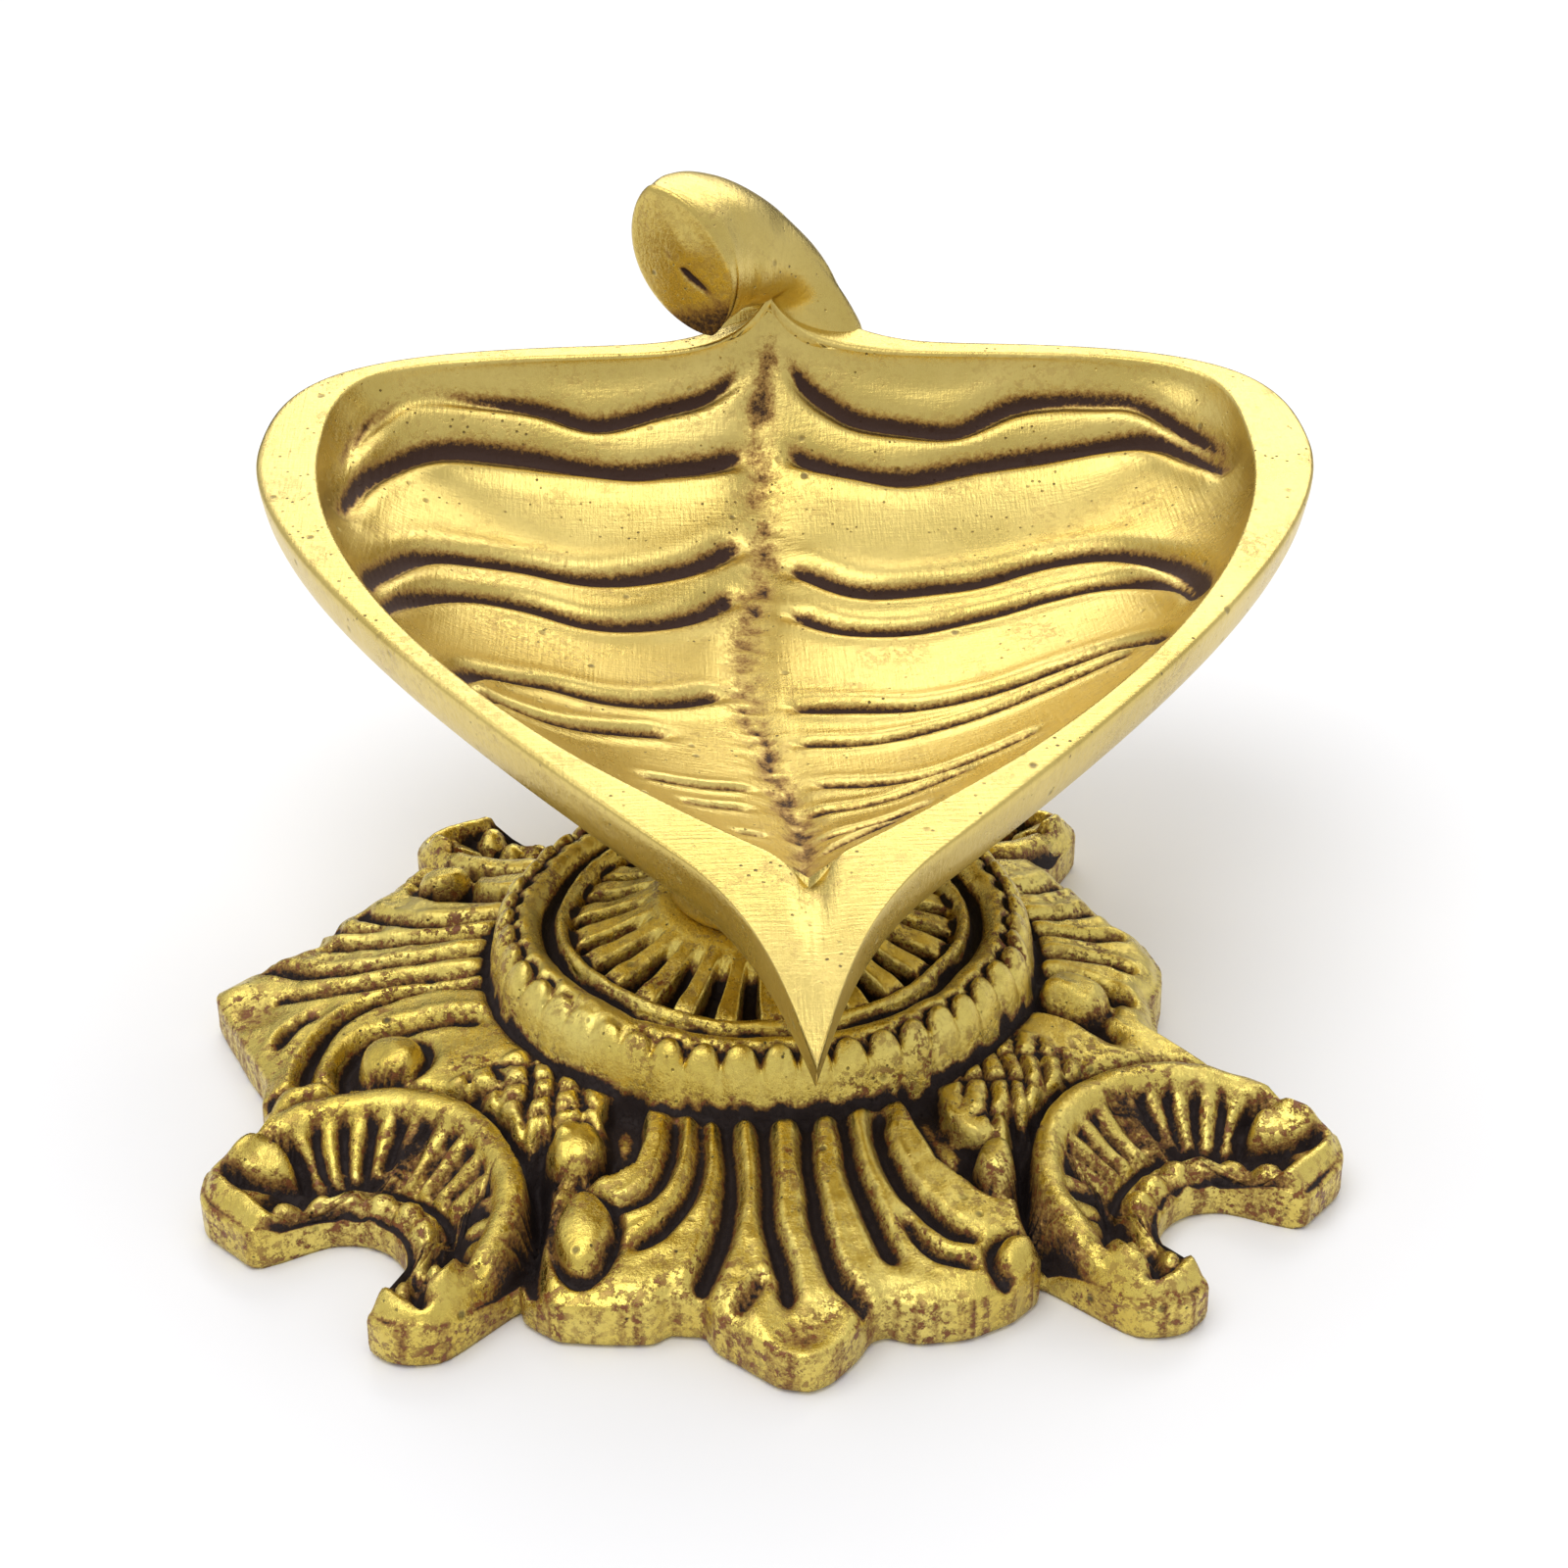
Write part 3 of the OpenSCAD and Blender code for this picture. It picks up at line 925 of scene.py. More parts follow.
    def outside(self, edge: Array, outer: Array) -> None:
        """The wall under the rim, the underside and the boss with its tapped hole.

        Args:
            edge: Vertices of the outer edge.
            outer: Plan of the outer edge.
        """
        full = self.depth + self.floor
        deep = np.array([0.0, self.deepest])
        rows = [edge]
        depths = np.concatenate([[0.06, 0.09], np.linspace(0.13, 0.6, 20)])
        for d in depths:
            share = min(float(curve_at(WALL_FALLS[::-1], WALL_SHARES[::-1], np.array([d]))[0]), 0.9995)
            plan = deep + (outer - deep) * share
            back, up = self.pull(outer[:, 0], outer[:, 1], np.ones(len(outer)))
            keep = smooth(np.full(1, d), 0.62, 0.1)[0]
            z = np.full(len(plan), -d * full)
            rows.append(self.skin.add(np.stack([plan[:, 0], plan[:, 1] + back * keep, z + up * keep], 1)))
            self.skin.bridge(rows[-2], rows[-1])
        middle = self.from_part(np.array([[SCREW_X, SCREW_Y, 16.0]]))[0, :2]
        angle = np.arctan2(plan[:, 1] - middle[1], plan[:, 0] - middle[0])
        ring = np.stack([np.cos(angle), np.sin(angle)], 1)
        for k in np.linspace(0, 1, 20)[1:]:
            foot = middle + ring * (self.boss + 0.25)
            spot = plan + (foot - plan) * k
            r = np.clip(self.gauge(spot[:, 0], spot[:, 1], False), 0, 1)
            z = -full * curve_at(WALL_SHARES, WALL_FALLS, r)
            rows.append(self.skin.add(np.stack([spot[:, 0], spot[:, 1], z], 1)))
            self.skin.bridge(rows[-2], rows[-1])
        top = self.to_part(np.stack([spot[:, 0], spot[:, 1], z], 1))
        where = np.arctan2(top[:, 1] - SCREW_Y, top[:, 0] - SCREW_X)
        for radius, height in ((self.boss, -0.35), (self.boss, -0.9)):
            rows.append(self.ring(where, radius, top[:, 2] + height))
            self.skin.bridge(rows[-2], rows[-1])
        for radius, height in ((self.boss, self.seat + 0.9), (self.boss, self.seat + 0.35),
                               (self.boss - 0.3, self.seat), (self.bore + 0.4, self.seat),
                               (self.bore, self.seat + 0.4), (self.bore, self.seat + 5.0)):
            rows.append(self.ring(where, radius, np.full(len(where), height)))
            self.skin.bridge(rows[-2], rows[-1])
        end = np.array([[SCREW_X, SCREW_Y, self.seat + 5.6]])
        self.skin.fan(rows[-1], int(self.skin.add(self.from_part(end), 0.7)[0]))

    def ring(self, angle: Array, radius: float, height: Array) -> Array:
        """A ring of vertices round the screw.

        Args:
            angle: Where each vertex stands.
            radius: The ring's radius.
            height: Height of each vertex in the part's frame.

        Returns:
            Their numbers; like all the others they are kept in the rim's plane.
        """
        p = np.stack([np.cos(angle) * radius + SCREW_X, np.sin(angle) * radius + SCREW_Y,
                      height], 1)
        return self.skin.add(self.from_part(p), 0.15)

    def stem(self) -> None:
        """The curled stem: a swept body with its root sunk in the rear of the rim."""
        marks = np.array(STEM, float)
        path = spline([tuple(m[:3]) for m in marks], 9)
        at = np.linspace(0, len(marks) - 1, len(path))
        wide, tall, tilt = (curve_at(range(len(marks)), marks[:, c], at) for c in (3, 4, 5))
        ahead = np.gradient(path, axis=0)
        ahead /= np.linalg.norm(ahead, axis=1)[:, None]
        side = STEM_SIDE - (ahead @ STEM_SIDE)[:, None] * ahead
        side /= np.linalg.norm(side, axis=1)[:, None]
        up = np.cross(side, ahead)
        up *= np.sign(up[-1, 2])
        turn = np.radians(tilt)[:, None]
        side, up = side * np.cos(turn) + up * np.sin(turn), up * np.cos(turn) - side * np.sin(turn)
        a = np.linspace(0, 2 * math.pi, self.stem_sides, endpoint=False)
        worn = Grain(2.6, 13)
        previous = None
        for k, middle in enumerate(path):
            lens = np.abs(np.cos(a)) ** (0.35 * smooth(at[k : k + 1], 5.5, 8.5)[0])
            dent = 1 + 0.02 * worn.at(a * 3.0, np.full(a.shape, k * 0.4))
            ring = (np.cos(a) * lens)[:, None] * side[k] * wide[k] + np.sin(a)[:, None] * up[k] * tall[k]
            ring *= dent[:, None]
            # Painted shade: the underside of the stem's end, where it overhangs the rim, is darkened through
            # the patina attribute.
            low = smooth(-ring[:, 2], 2.0, 5.0) * smooth(at[k : k + 1], 6.5, 8.6)[0]
            now = self.skin.add(middle + ring, 0.5 * low)
            if previous is None:
                self.skin.fan(now, int(self.skin.add(middle[None] - ahead[0] * 0.5)[0]))
            else:
                self.skin.bridge(previous, now)
            previous = now
        for scale, out in BUD_FACE:
            face = (np.cos(a) * lens)[:, None] * side[-1] * wide[-1]
            face = (face + np.sin(a)[:, None] * up[-1] * tall[-1]) * scale
            across, along = face @ side[-1], face @ up[-1]
            ridge = 0.8 * np.exp(-np.abs(across - 0.6 - 0.35 * (5 - along)) / 0.7)
            ridge = ridge * (1 - scale) * smooth(along, -1.5, 1.0)
            crack = bell(along + 1.0, 1.6) * bell(across - 0.2 + 0.55 * along, 0.3)
            q = middle + face + ahead[-1] * (out + ridge - 0.45 * crack)[:, None]
            # The crack and the face's even tint are tarnish; the extra darkening of the face's lower part is
            # painted shade.
            now = self.skin.add(q, np.clip(crack + 0.1 + 0.4 * smooth(-along, 2.6, 5.0), 0, 1))
            self.skin.bridge(previous, now)
            previous = now
        self.skin.fan(previous, int(self.skin.add((middle + ahead[-1] * 0.9)[None])[0]))

    def build(self) -> bpy.types.Object:
        """Build and dress the bowl.

        Returns:
            The piece.
        """
        loop = self.basin()
        outer = self.partner()
        rows = self.rim_strip(loop, outer)
        self.outside(rows[-1], outer)
        self.stem()
        self.skin.points = [self.to_part(np.vstack(self.skin.points))]
        piece = self.skin.build("leaf_basin")
        piece.data.materials.append(POLISHED_BRASS.make())
        seat(piece, Body.BOWL, Slot.POLISHED, "leaf_bowl")
        return piece


# ---------------------------------------------------------------- the ornate base


@dataclass(frozen=True)
class Knob:
    """A round or oval boss with a dark ring round it."""

    x: float
    y: float
    rx: float
    ry: float
    rise: float
    ring: float = 0.8

    def shape(self, x: Array, y: Array, z: Array) -> Array:
        """The surface with this knob on it.

        Args:
            x: Sideways positions.
            y: Outward positions.
            z: The surface.

        Returns:
            The raised surface.
        """
        d = np.hypot((x - self.x) / self.rx, (y - self.y) / self.ry)
        size = (self.rx + self.ry) / 2
        z = z - self.ring * bell((d - 1.22) * size, 0.42)
        return z + np.where(d < 1.12, self.rise * dome(d, 1.12), 0.0)


def mirrored(strokes: Sequence[Stroke]) -> tuple[Stroke, ...]:
    """The same strokes on the other side of the middle line."""
    return tuple(replace(s, points=tuple((-a, b) for a, b in s.points)) for s in strokes)


RIGHT_STROKES: tuple[Stroke, ...] = (
    Stroke(((1.6, 18.8), (1.5, 23), (1.8, 26), (2.0, 28.5), (2.4, 31), (3.0, 33), (4.0, 34.8),
            (4.9, 36.3)), 0.5, 1.2),
    Stroke(((3.9, 18.8), (4.2, 22), (4.7, 25), (5.3, 28), (6.0, 30.5), (6.5, 32)), 0.5, 1.2),
    Stroke(((6.6, 18.6), (6.5, 21.5), (7.0, 24), (7.8, 26), (9.2, 28), (10.5, 29.2), (12.1, 29.5)),
           0.55, 1.3),
    Stroke(((7.2, 27), (7.6, 29), (8.6, 30.8), (10, 31.6), (11.5, 31.9)), 0.4, 0.9),
    Stroke(((15.2, 19), (15.1, 22), (15.4, 25), (15.6, 29), (15.8, 33), (16.2, 36)), 0.5, 1.6, 0.5),
)
LEFT_STROKES: tuple[Stroke, ...] = (
    Stroke(((-1.2, 18.8), (-1.2, 24), (-1.1, 27), (-0.75, 30), (-0.4, 32.5), (-0.2, 34.8)), 0.5, 1.2),
    Stroke(((-3.3, 18.8), (-3.3, 23), (-3.5, 26), (-4.1, 29), (-4.9, 31.5), (-5.8, 33.5)), 0.6, 1.4),
    Stroke(((-1.3, 31.8), (-2.4, 33.6), (-3.5, 35.2)), 0.35, 0.7, 0.8),
    Stroke(((-4.8, 18.8), (-4.9, 22), (-5.4, 24.5), (-6.4, 26.6), (-8, 28.6), (-9.8, 29.8)), 0.45, 1.1),
    Stroke(((-6.5, 18.5), (-6.7, 21.5), (-7.4, 24), (-8.8, 25.8), (-10.8, 26.6)), 0.42, 1.0),
    Stroke(((-15.3, 19), (-15.2, 24), (-15.3, 28), (-15.6, 32), (-16.2, 36)), 0.5, 1.6, 0.5),
)
RIGHT_RECESS: Line = ((7.5, 17), (8.6, 19.5), (9.3, 21.5), (10, 23.3), (11.3, 24.6), (12.3, 25.2),
                      (12.2, 23.6), (12.6, 22.3), (13.2, 21.7), (11.6, 20.6), (10.7, 19.2), (10.4, 17))
LEFT_RECESS: Line = ((-8.3, 17.0), (-8.6, 20.5), (-9.2, 22.6), (-10.4, 23.4), (-12, 23.3), (-11, 22),
                     (-10.7, 20.5), (-11.2, 18.6), (-10.6, 17.0))
# The left palmette's front half curls into a volute, the right one's front half into a long one.
LEFT_VOLUTE: tuple[Stroke, ...] = (
    Stroke(((1.2, 18.8), (0.9, 23), (0.6, 27), (0.2, 31), (-0.2, 35)), 0.5, 1.2),
    Stroke(((3.2, 18.8), (2.3, 22), (2.3, 25), (3.2, 28), (5.2, 30.2), (8.5, 31.3), (12, 31)), 0.5, 1.4),
    Stroke(((7.2, 19.3), (6.5, 22.3), (6.4, 24.8), (7.2, 27.2), (9.2, 28.6), (11.8, 28.4)), 0.6, 1.7, 0.8),
    Stroke(((2.6, 31), (4.2, 33), (6.5, 34)), 0.4, 0.9),
    Stroke(((15.2, 19), (15.1, 24), (15.4, 30), (16, 35)), 0.6, 1.7, 0.5),
)
RIGHT_VOLUTE: tuple[Stroke, ...] = (
    Stroke(((-1.6, 18.8), (-1.5, 21), (-1.7, 24), (-2.4, 26.5)), 0.45, 1.1),
    Stroke(((-3.6, 18.6), (-4.0, 21), (-5.0, 23.4), (-6.8, 25.6)), 0.5, 1.3),
    Stroke(((-7.2, 17.5), (-8.0, 20), (-9.4, 22.0), (-11.2, 23.6)), 0.6, 1.7),
)


@dataclass(frozen=True)
class Palmette:
    """One of the four leaf tips of the base, in its own sideways and outward coordinates."""

    strokes: tuple[Stroke, ...]
    recesses: tuple[Line, ...]
    knobs: tuple[Knob, ...]
    edge: Line
    spoon: float

    def shape(self, a: Array, b: Array, z: Array) -> Array:
        """The dome with this palmette cut into it.

        Args:
            a: Sideways positions.
            b: Outward positions.
            z: The dome.

        Returns:
            The cut surface.
        """
        for recess in self.recesses:
            z = z - 1.9 * smooth(polygon_depth(recess, a, b), -0.35, 0.45)
        crown = np.zeros(z.shape)
        cut = np.zeros(z.shape)
        for stroke in self.strokes:
            away, _, fade = stroke.field(a, b)
            groove = 0.65 * bell(away, stroke.width) + 0.35 * bell(away, 1.9 * stroke.width)
            cut = np.maximum(cut, fade * stroke.depth * groove)
            crown = np.maximum(crown, fade * bell(away - 2.1 * stroke.width, 0.9 * stroke.width))
        z = z + 0.22 * crown - cut
        for knob in self.knobs:
            z = knob.shape(a, b, z)
        tip = b - self.spoon
        bowl = bell(a - 0.7, 2.2) * smooth(tip, -3.0, -0.5)
        brim = bell(np.abs(a - 0.7) - 2.7, 0.8) * smooth(tip, -3.0, 0.0)
        return z - 0.55 * bowl * smooth(tip, 2.2, 0.2) + 0.25 * brim


# Reach of each palmette's plan, as degrees off its aim and distance from the screw.
FRONT_EDGE: Line = ((-34, 27), (-30, 31.5), (-27.5, 35.2), (-23, 36), (-17, 35.2), (-13.6, 34.7),
                    (-12.7, 33.8), (-8.6, 33.7), (-8, 34.8), (-5.2, 36), (-1.6, 37.9), (1.1, 38.4),
                    (3.2, 37.8), (6.4, 35.8), (7.6, 34.7), (9.4, 34.4), (12, 35.4), (17, 36), (22, 35.7),
                    (26, 34.8), (29, 32), (34, 27))
RIGHT_EDGE: Line = ((-34, 26), (-28, 27.6), (-18, 28.2), (-12, 27.8), (-9, 27.4), (-5, 28.4), (0, 28.8),
                    (6.5, 28.3), (8.5, 27.4), (11, 27.0), (16, 26.5), (24, 26.3), (34, 26.2))
REAR_EDGE: Line = ((-34, 27), (-29, 31.5), (-24, 34.6), (-16, 35), (-10, 34.2), (-8, 33.8), (-4.5, 36),
                   (0, 38), (4.5, 36), (8, 33.8), (10, 34.2), (16, 35), (24, 34.6), (29, 31.5), (34, 27))
LEFT_EDGE: Line = ((-40, 30), (-34, 31.5), (-26.6, 31.3), (-21, 32.6), (-15.3, 33.4), (-12.5, 33.2),
                   (-9, 36), (-5.1, 38), (-2.9, 39.2), (4, 37.2), (11.6, 35.6), (15, 35.2), (19, 36),
                   (24, 36), (29, 32.5), (34, 27))


# Profile of the casting without its ornament: distance from the screw and height.
PROFILE: Line = (
    (2, 11.5), (7, 11.5), (7.4, 11.3), (8, 11.0), (10, 10.2), (12, 9.4), (13, 9.0), (13.35, 8.8),
    (13.7, 9.5), (14.05, 10.0), (14.4, 9.6), (14.9, 8.3), (15.4, 9.2), (15.9, 9.9), (16.6, 10.2),
    (17.4, 10.0), (18.0, 9.5), (18.6, 8.7), (18.95, 7.7), (19.25, 6.3), (19.6, 5.9), (20.4, 6.4),
    (24, 5.8), (30, 4.6), (36, 3.5), (42, 3.0), (50, 2.6),
)


@dataclass
class OrnateBase:
    """The hollow cast foot: palmettes, crescents, scale panels, pearl collar and fluted disc.

    Attributes:
        spokes: Spokes of the mesh round the screw.
        bore: Radius of the screw's hole.
        mouth: Radius of the hollow underneath.
        roof: Height of the hollow.
        wall: Least metal over the hollow.
        edge: Height of the upright edge.
        roll: Width of the rounding above it.
        bevel: From the last ring of the top to the outline.
        blurs: Smoothing passes that the broad patina is measured against.
        early_blurs: The same for the fine patina.
        pearls: Pearls round the collar.
        flutes: Flutes of the inner disc.
        crescent: From the screw to a crescent's middle.
        band: Radius of a crescent's outer edge.
        notch: Radius of its notch.
        notch_spot: From the screw to the notch's middle.
        slot_pitch: Angle between the slots of its slope.
        bead_pitch: Angle between its beads.
        eye_spot: Place of an arm's eye, outward and sideways.
        worn_pearls: Where the pearls are worn flat.
        leans: How far each crescent's back sits to one side of its notch.
        aims: Where each crescent points, in degrees.
        shifts: How much closer in each crescent sits.
        skin: The mesh so far.
    """

    spokes: int = 700
    bore: float = 2.1
    mouth: float = 24.6
    roof: float = 6.5
    wall: float = 0.6
    edge: float = 2.55
    roll: float = 1.9
    bevel: float = 0.35
    blurs: int = 34
    early_blurs: int = 8
    pearls: int = 48
    flutes: int = 26
    crescent: float = 37.0
    band: float = 11.3
    notch: float = 4.6
    notch_spot: float = 39.4
    slot_pitch: float = 0.215
    bead_pitch: float = 0.335
    eye_spot: tuple[float, float] = (36.6, 8.7)
    worn_pearls: float = math.radians(228)
    leans: tuple[float, ...] = (1.2, -0.8, 0.8, -1.5)
    aims: tuple[float, ...] = (-45.0, 60.0, 120.0, 225.0)
    shifts: tuple[float, ...] = (0.0, 7.4, 7.4, 0.0)
    skin: Skin = field(default_factory=Skin)

    def palmettes(self) -> tuple[Palmette, ...]:
        """Front, right, rear and left palmettes."""
        right_knobs = (Knob(13.6, 23.6, 1.5, 1.8, 0.9), Knob(14.0, 31.4, 1.6, 1.7, 0.9, 1.0))
        left_knobs = (Knob(-13.0, 21.4, 1.8, 2.1, 1.1), Knob(-12.4, 28.2, 1.6, 2.9, 1.1, 0.9))
        volute_knobs = (Knob(10.2, 25.4, 1.9, 2.1, 1.2), Knob(13.2, 31.0, 1.7, 2.2, 0.9))
        flipped = mirrored(RIGHT_STROKES)
        flipped_recess = tuple((-a, b) for a, b in RIGHT_RECESS)
        flipped_knobs = tuple(replace(knob, x=-knob.x) for knob in right_knobs)
        return (
            Palmette(RIGHT_STROKES + LEFT_STROKES, (RIGHT_RECESS, LEFT_RECESS), right_knobs + left_knobs,
                     FRONT_EDGE, 36.5),
            Palmette(mirrored(RIGHT_VOLUTE) + RIGHT_VOLUTE, (), (Knob(-6.6, 21.2, 1.9, 2.3, 1.1, 0.7),),
                     RIGHT_EDGE, 37.0),
            Palmette(RIGHT_STROKES + flipped, (RIGHT_RECESS, flipped_recess), right_knobs + flipped_knobs,
                     REAR_EDGE, 36.5),
            Palmette(flipped + LEFT_VOLUTE, (flipped_recess,), flipped_knobs + volute_knobs, LEFT_EDGE, 36.5),
        )

    def outline(self, angle: Array) -> Array:
        """Reach of the base at each angle.

        Args:
            angle: Angles about the screw.

        Returns:
            The first place where a ray from the middle leaves the metal.
        """
        radii = np.arange(24.0, 50.0, 0.05)
        a, r = np.meshgrid(angle, radii, indexing="ij")
        inside = np.zeros(a.shape, bool)
        for k, palmette in enumerate(self.palmettes()):
            off = np.degrees(off_aim(a, math.radians(90 * k - 90)))
            edge = np.asarray(palmette.edge, float)
            inside |= (np.abs(off) < 46) & (r < np.interp(off, edge[:, 0], edge[:, 1]))
        for k, lean in enumerate(self.leans):
            off = off_aim(a, math.radians(self.aims[k]))
            rho, tau = r * np.cos(off) + self.shifts[k], r * np.sin(off)
            outer, inner = self.crescent_reach(rho, tau, lean)
            near = np.abs(off) < 0.8
            inside |= near & (outer > 0)
            shoulder = (rho < self.crescent) & (np.abs(tau - lean) < self.band)
            inside |= near & shoulder & (np.abs(off) > 0.12)
            inside &= ~(near & (inner < 0))
        first_out = np.argmin(inside, axis=1)
        reach = radii[first_out]
        kernel = np.array([0.25, 0.5, 0.25])
        return np.convolve(np.pad(reach, 1, mode="wrap"), kernel, "valid")

    def dome(self, r: Array) -> Array:
        """Smooth height of the casting without its ornament."""
        radii, tops = zip(*PROFILE)
        return curve_at(radii, tops, r)

    def collar(self, r: Array, angle: Array, z: Array) -> Array:
        """Flutes of the inner disc and pearls round the collar.

        Args:
            r: Distances from the screw.
            angle: Angles round it.
            z: The surface.

        Returns:
            The surface with both.
        """
        wave = np.abs(((angle * self.flutes / (2 * math.pi)) % 1.0) - 0.5) * 2.0
        gap = smooth(wave, 0.42, 0.78)
        z = z - 1.7 * gap * smooth(r, 8.0, 10.0) * smooth(r, 13.3, 12.7)
        z = z + 0.25 * (1 - gap) * bell(r - 12.3, 1.0)
        along, across = near_middle(angle, 2 * math.pi / self.pearls) * r, r - 18.3
        d = np.hypot(along, across)
        worn = 1 - 0.8 * bell(off_aim(angle, self.worn_pearls), 0.3)
        z = z + worn * 0.75 * dome(d, 1.1)
        z = z - worn * 0.55 * bell(d - 1.25, 0.25) * smooth(across, 0.5, -0.5)
        return z

    def scales(self, rho: Array, tau: Array, z: Array, feathers: bool) -> Array:
        """Panel between collar and crescent.

        Args:
            rho: Outward positions along the diagonal.
            tau: Sideways positions.
            z: The surface under the panel.
            feathers: Long strokes instead of diamonds.

        Returns:
            The surface with its panel.
        """
        half = 3.6 + 0.28 * (rho - 18)
        here = smooth(rho, 19.4, 20.2) * smooth(rho, 26.4, 25.2) * smooth(half - np.abs(tau), -0.3, 0.5)
        bent = tau + 0.5 * Grain(2.2, 51).at(rho, tau)
        long_way, wide_way = (4.2, 1.5) if feathers else (2.7, 2.4)
        u = (rho + bent) / wide_way / (1.35 if feathers else 1.0)
        v = (rho - bent) / long_way
        net = np.maximum(bell((u % 1.0) - 0.5, 0.13), bell((v % 1.0) - 0.5, 0.08 if feathers else 0.14))
        deep = 0.8 + 0.3 * Grain(1.6, 52).at(rho, tau)
        return z + here * (0.3 - deep * net)

    def crescent_reach(self, rho: Array, tau: Array, lean: float) -> tuple[Array, Array]:
        """Distances across a crescent.

        Args:
            rho: Outward positions along the diagonal.
            tau: Sideways positions.
            lean: How far the crescent's back sits to one side of its notch.

        Returns:
            The distance in from its outer edge and from its notch's edge, both positive in the metal.
        """
        off = np.abs(tau - lean)
        back = self.band - np.hypot(rho - self.crescent, off)
        end = 41.3 - rho - 0.24 * np.clip(off - 8.2, 0, None) ** 2
        arm = np.minimum(self.band - off, end)
        outer = np.where(rho < self.crescent, back, arm)
        flare = self.notch + 0.45 * np.clip(rho - self.notch_spot, 0, None)
        inner = np.where(rho < self.notch_spot, np.hypot(rho - self.notch_spot, tau), np.abs(tau)) - flare
        return outer, inner

    def rolled(self, z: Array, inward: Array) -> Array:
        """The surface, rounded down to the upright edge over the last stretch.

        Args:
            z: The surface.
            inward: Distance in from the outline.

        Returns:
            The rounded surface.
        """
        away = 1 - np.clip(inward / self.roll, 0, 1)
        return self.edge + (z - self.edge) * np.sqrt(1 - away**2)

    def crescent_shape(self, rho: Array, tau: Array, z: Array, lean: float, rolling: bool) -> Array:
        """One crescent: rim band, slotted slope, channel, row of beads and the eyes of its arms.

        Args:
            rho: Outward positions along the diagonal.
            tau: Sideways positions.
            z: The surface under the crescent.
            lean: How far the crescent's back sits to one side of its notch.
            rolling: Whether its free edges are rounded down.

        Returns:
            The surface with the crescent on it.
        """
        outer, inner = self.crescent_reach(rho, tau, lean)
        across = tau - lean
        d = np.hypot(rho - self.crescent, across)
        turn = np.arctan2(across, self.crescent - rho)
        top = 5.4 - 0.16 * (rho - 26.0)
        shape = top - 1.35 * smooth(outer, 1.7, 5.0)
        slot = near_middle(turn, self.slot_pitch)
        hatch = smooth(outer, 1.7, 2.3) * smooth(inner, 3.3, 3.9) * smooth(np.abs(turn), 1.45, 1.3)
        shape = shape - 0.9 * hatch * bell(slot * d, 0.34)
        shape = shape + 0.12 * hatch * bell(np.abs(slot) * d - 0.95, 0.5)
        spin = np.arctan2(tau, self.notch_spot - rho)
        row = smooth(np.abs(spin), 1.85, 1.6)
        shape = shape - 1.4 * row * bell(inner - 3.1, 0.5)
        bead = np.hypot(near_middle(spin, self.bead_pitch) * (self.notch + 1.35), inner - 1.35)
        shape = shape + row * (1.5 * dome(bead, 1.15) - 0.9 * smooth(inner, 2.7, 2.1))
        band = top + 0.9 * dome(outer - 1.0, 1.05)
        shape = np.where(outer < 2.05, np.maximum(shape, band), shape)
        for side in (-1, 1):
            u, v = rho - self.eye_spot[0], side * across - self.eye_spot[1]
            along, over = (u + v) * 0.707, (u - v) * 0.707
            eye = np.hypot(along / 2.2, over / 1.25)
            moat = bell((eye - 1.3) * 1.8, 0.42) * smooth(inner, 0.8, 1.8) * smooth(outer, 0.9, 1.7)
            shape = shape - 0.9 * moat
            shape = shape + 0.75 * smooth(eye, 1.15, 0.7)
        free = np.minimum(inner * (1.0 + 1.6 * row), np.where(rho > 34.5, outer, 9.0))
        shape = self.rolled(shape, free) if rolling else shape
        on = smooth(outer, -0.25, 0.1)
        gap = bell(outer + 0.55, 0.6) * 2.0
        return (z - gap) * (1 - on) + shape * on

    def heights(self, x: Array, y: Array, inward: Array, rolling: bool) -> Array:
        """Height of the top surface, in millimetres about the screw.

        Args:
            x: Positions to the right.
            y: Positions to the rear.
            inward: Distance in from the outline.
            rolling: Whether the free edges are rounded down.

        Returns:
            The heights.
        """
        x0, y0 = x, y
        x = x + 0.22 * Grain(3.5, 21).at(x0, y0)
        y = y + 0.22 * Grain(3.5, 22).at(x0, y0)
        r, angle = np.hypot(x, y), np.arctan2(y, x)
        r0 = np.hypot(x0, y0)
        uneven = smooth(r0, 9, 12)
        z = self.dome(r * uneven + r0 * (1 - uneven))
        outer = r > 18.0
        for k, palmette in enumerate(self.palmettes()):
            off = off_aim(angle, math.radians(90 * k - 90))
            mine = outer & (np.abs(off) <= math.pi / 4 + 0.02)
            a, b = r[mine] * np.sin(off[mine]), r[mine] * np.cos(off[mine])
            ease = smooth(r[mine], 19.0, 19.7)
            z[mine] = z[mine] * (1 - ease) + palmette.shape(a, b, z[mine]) * ease
        for k, (aim, shift, lean) in enumerate(zip(self.aims, self.shifts, self.leans)):
            off = off_aim(angle, math.radians(aim))
            mine = outer & (np.abs(off) <= math.pi / 4)
            rho, tau = r[mine] * np.cos(off[mine]), r[mine] * np.sin(off[mine])
            under = z[mine] if shift else self.scales(rho, tau, z[mine], k == 0)
            keep = smooth(r[mine], 20.2, 21.2) if shift else 1.0
            crescent = self.crescent_shape(rho + shift, tau, under, lean, rolling)
            z[mine] = under * (1 - keep) + keep * crescent
        near = r < 21.0
        z[near] = self.collar(r[near], angle[near], z[near])
        cast = smooth(r0, 7.2, 9.0)
        z = z + 0.07 * Grain(0.9, 31).at(x0, y0) * cast + 0.1 * Grain(2.2, 32).at(x0, y0) * cast
        wall = np.interp(r0, (16.2, 19.0, 22.5, 24.2, 25.0), (6.5, 4.6, 2.6, 0.9, 0.6)) + self.wall
        return np.maximum(self.rolled(z, inward) if rolling else z, wall)

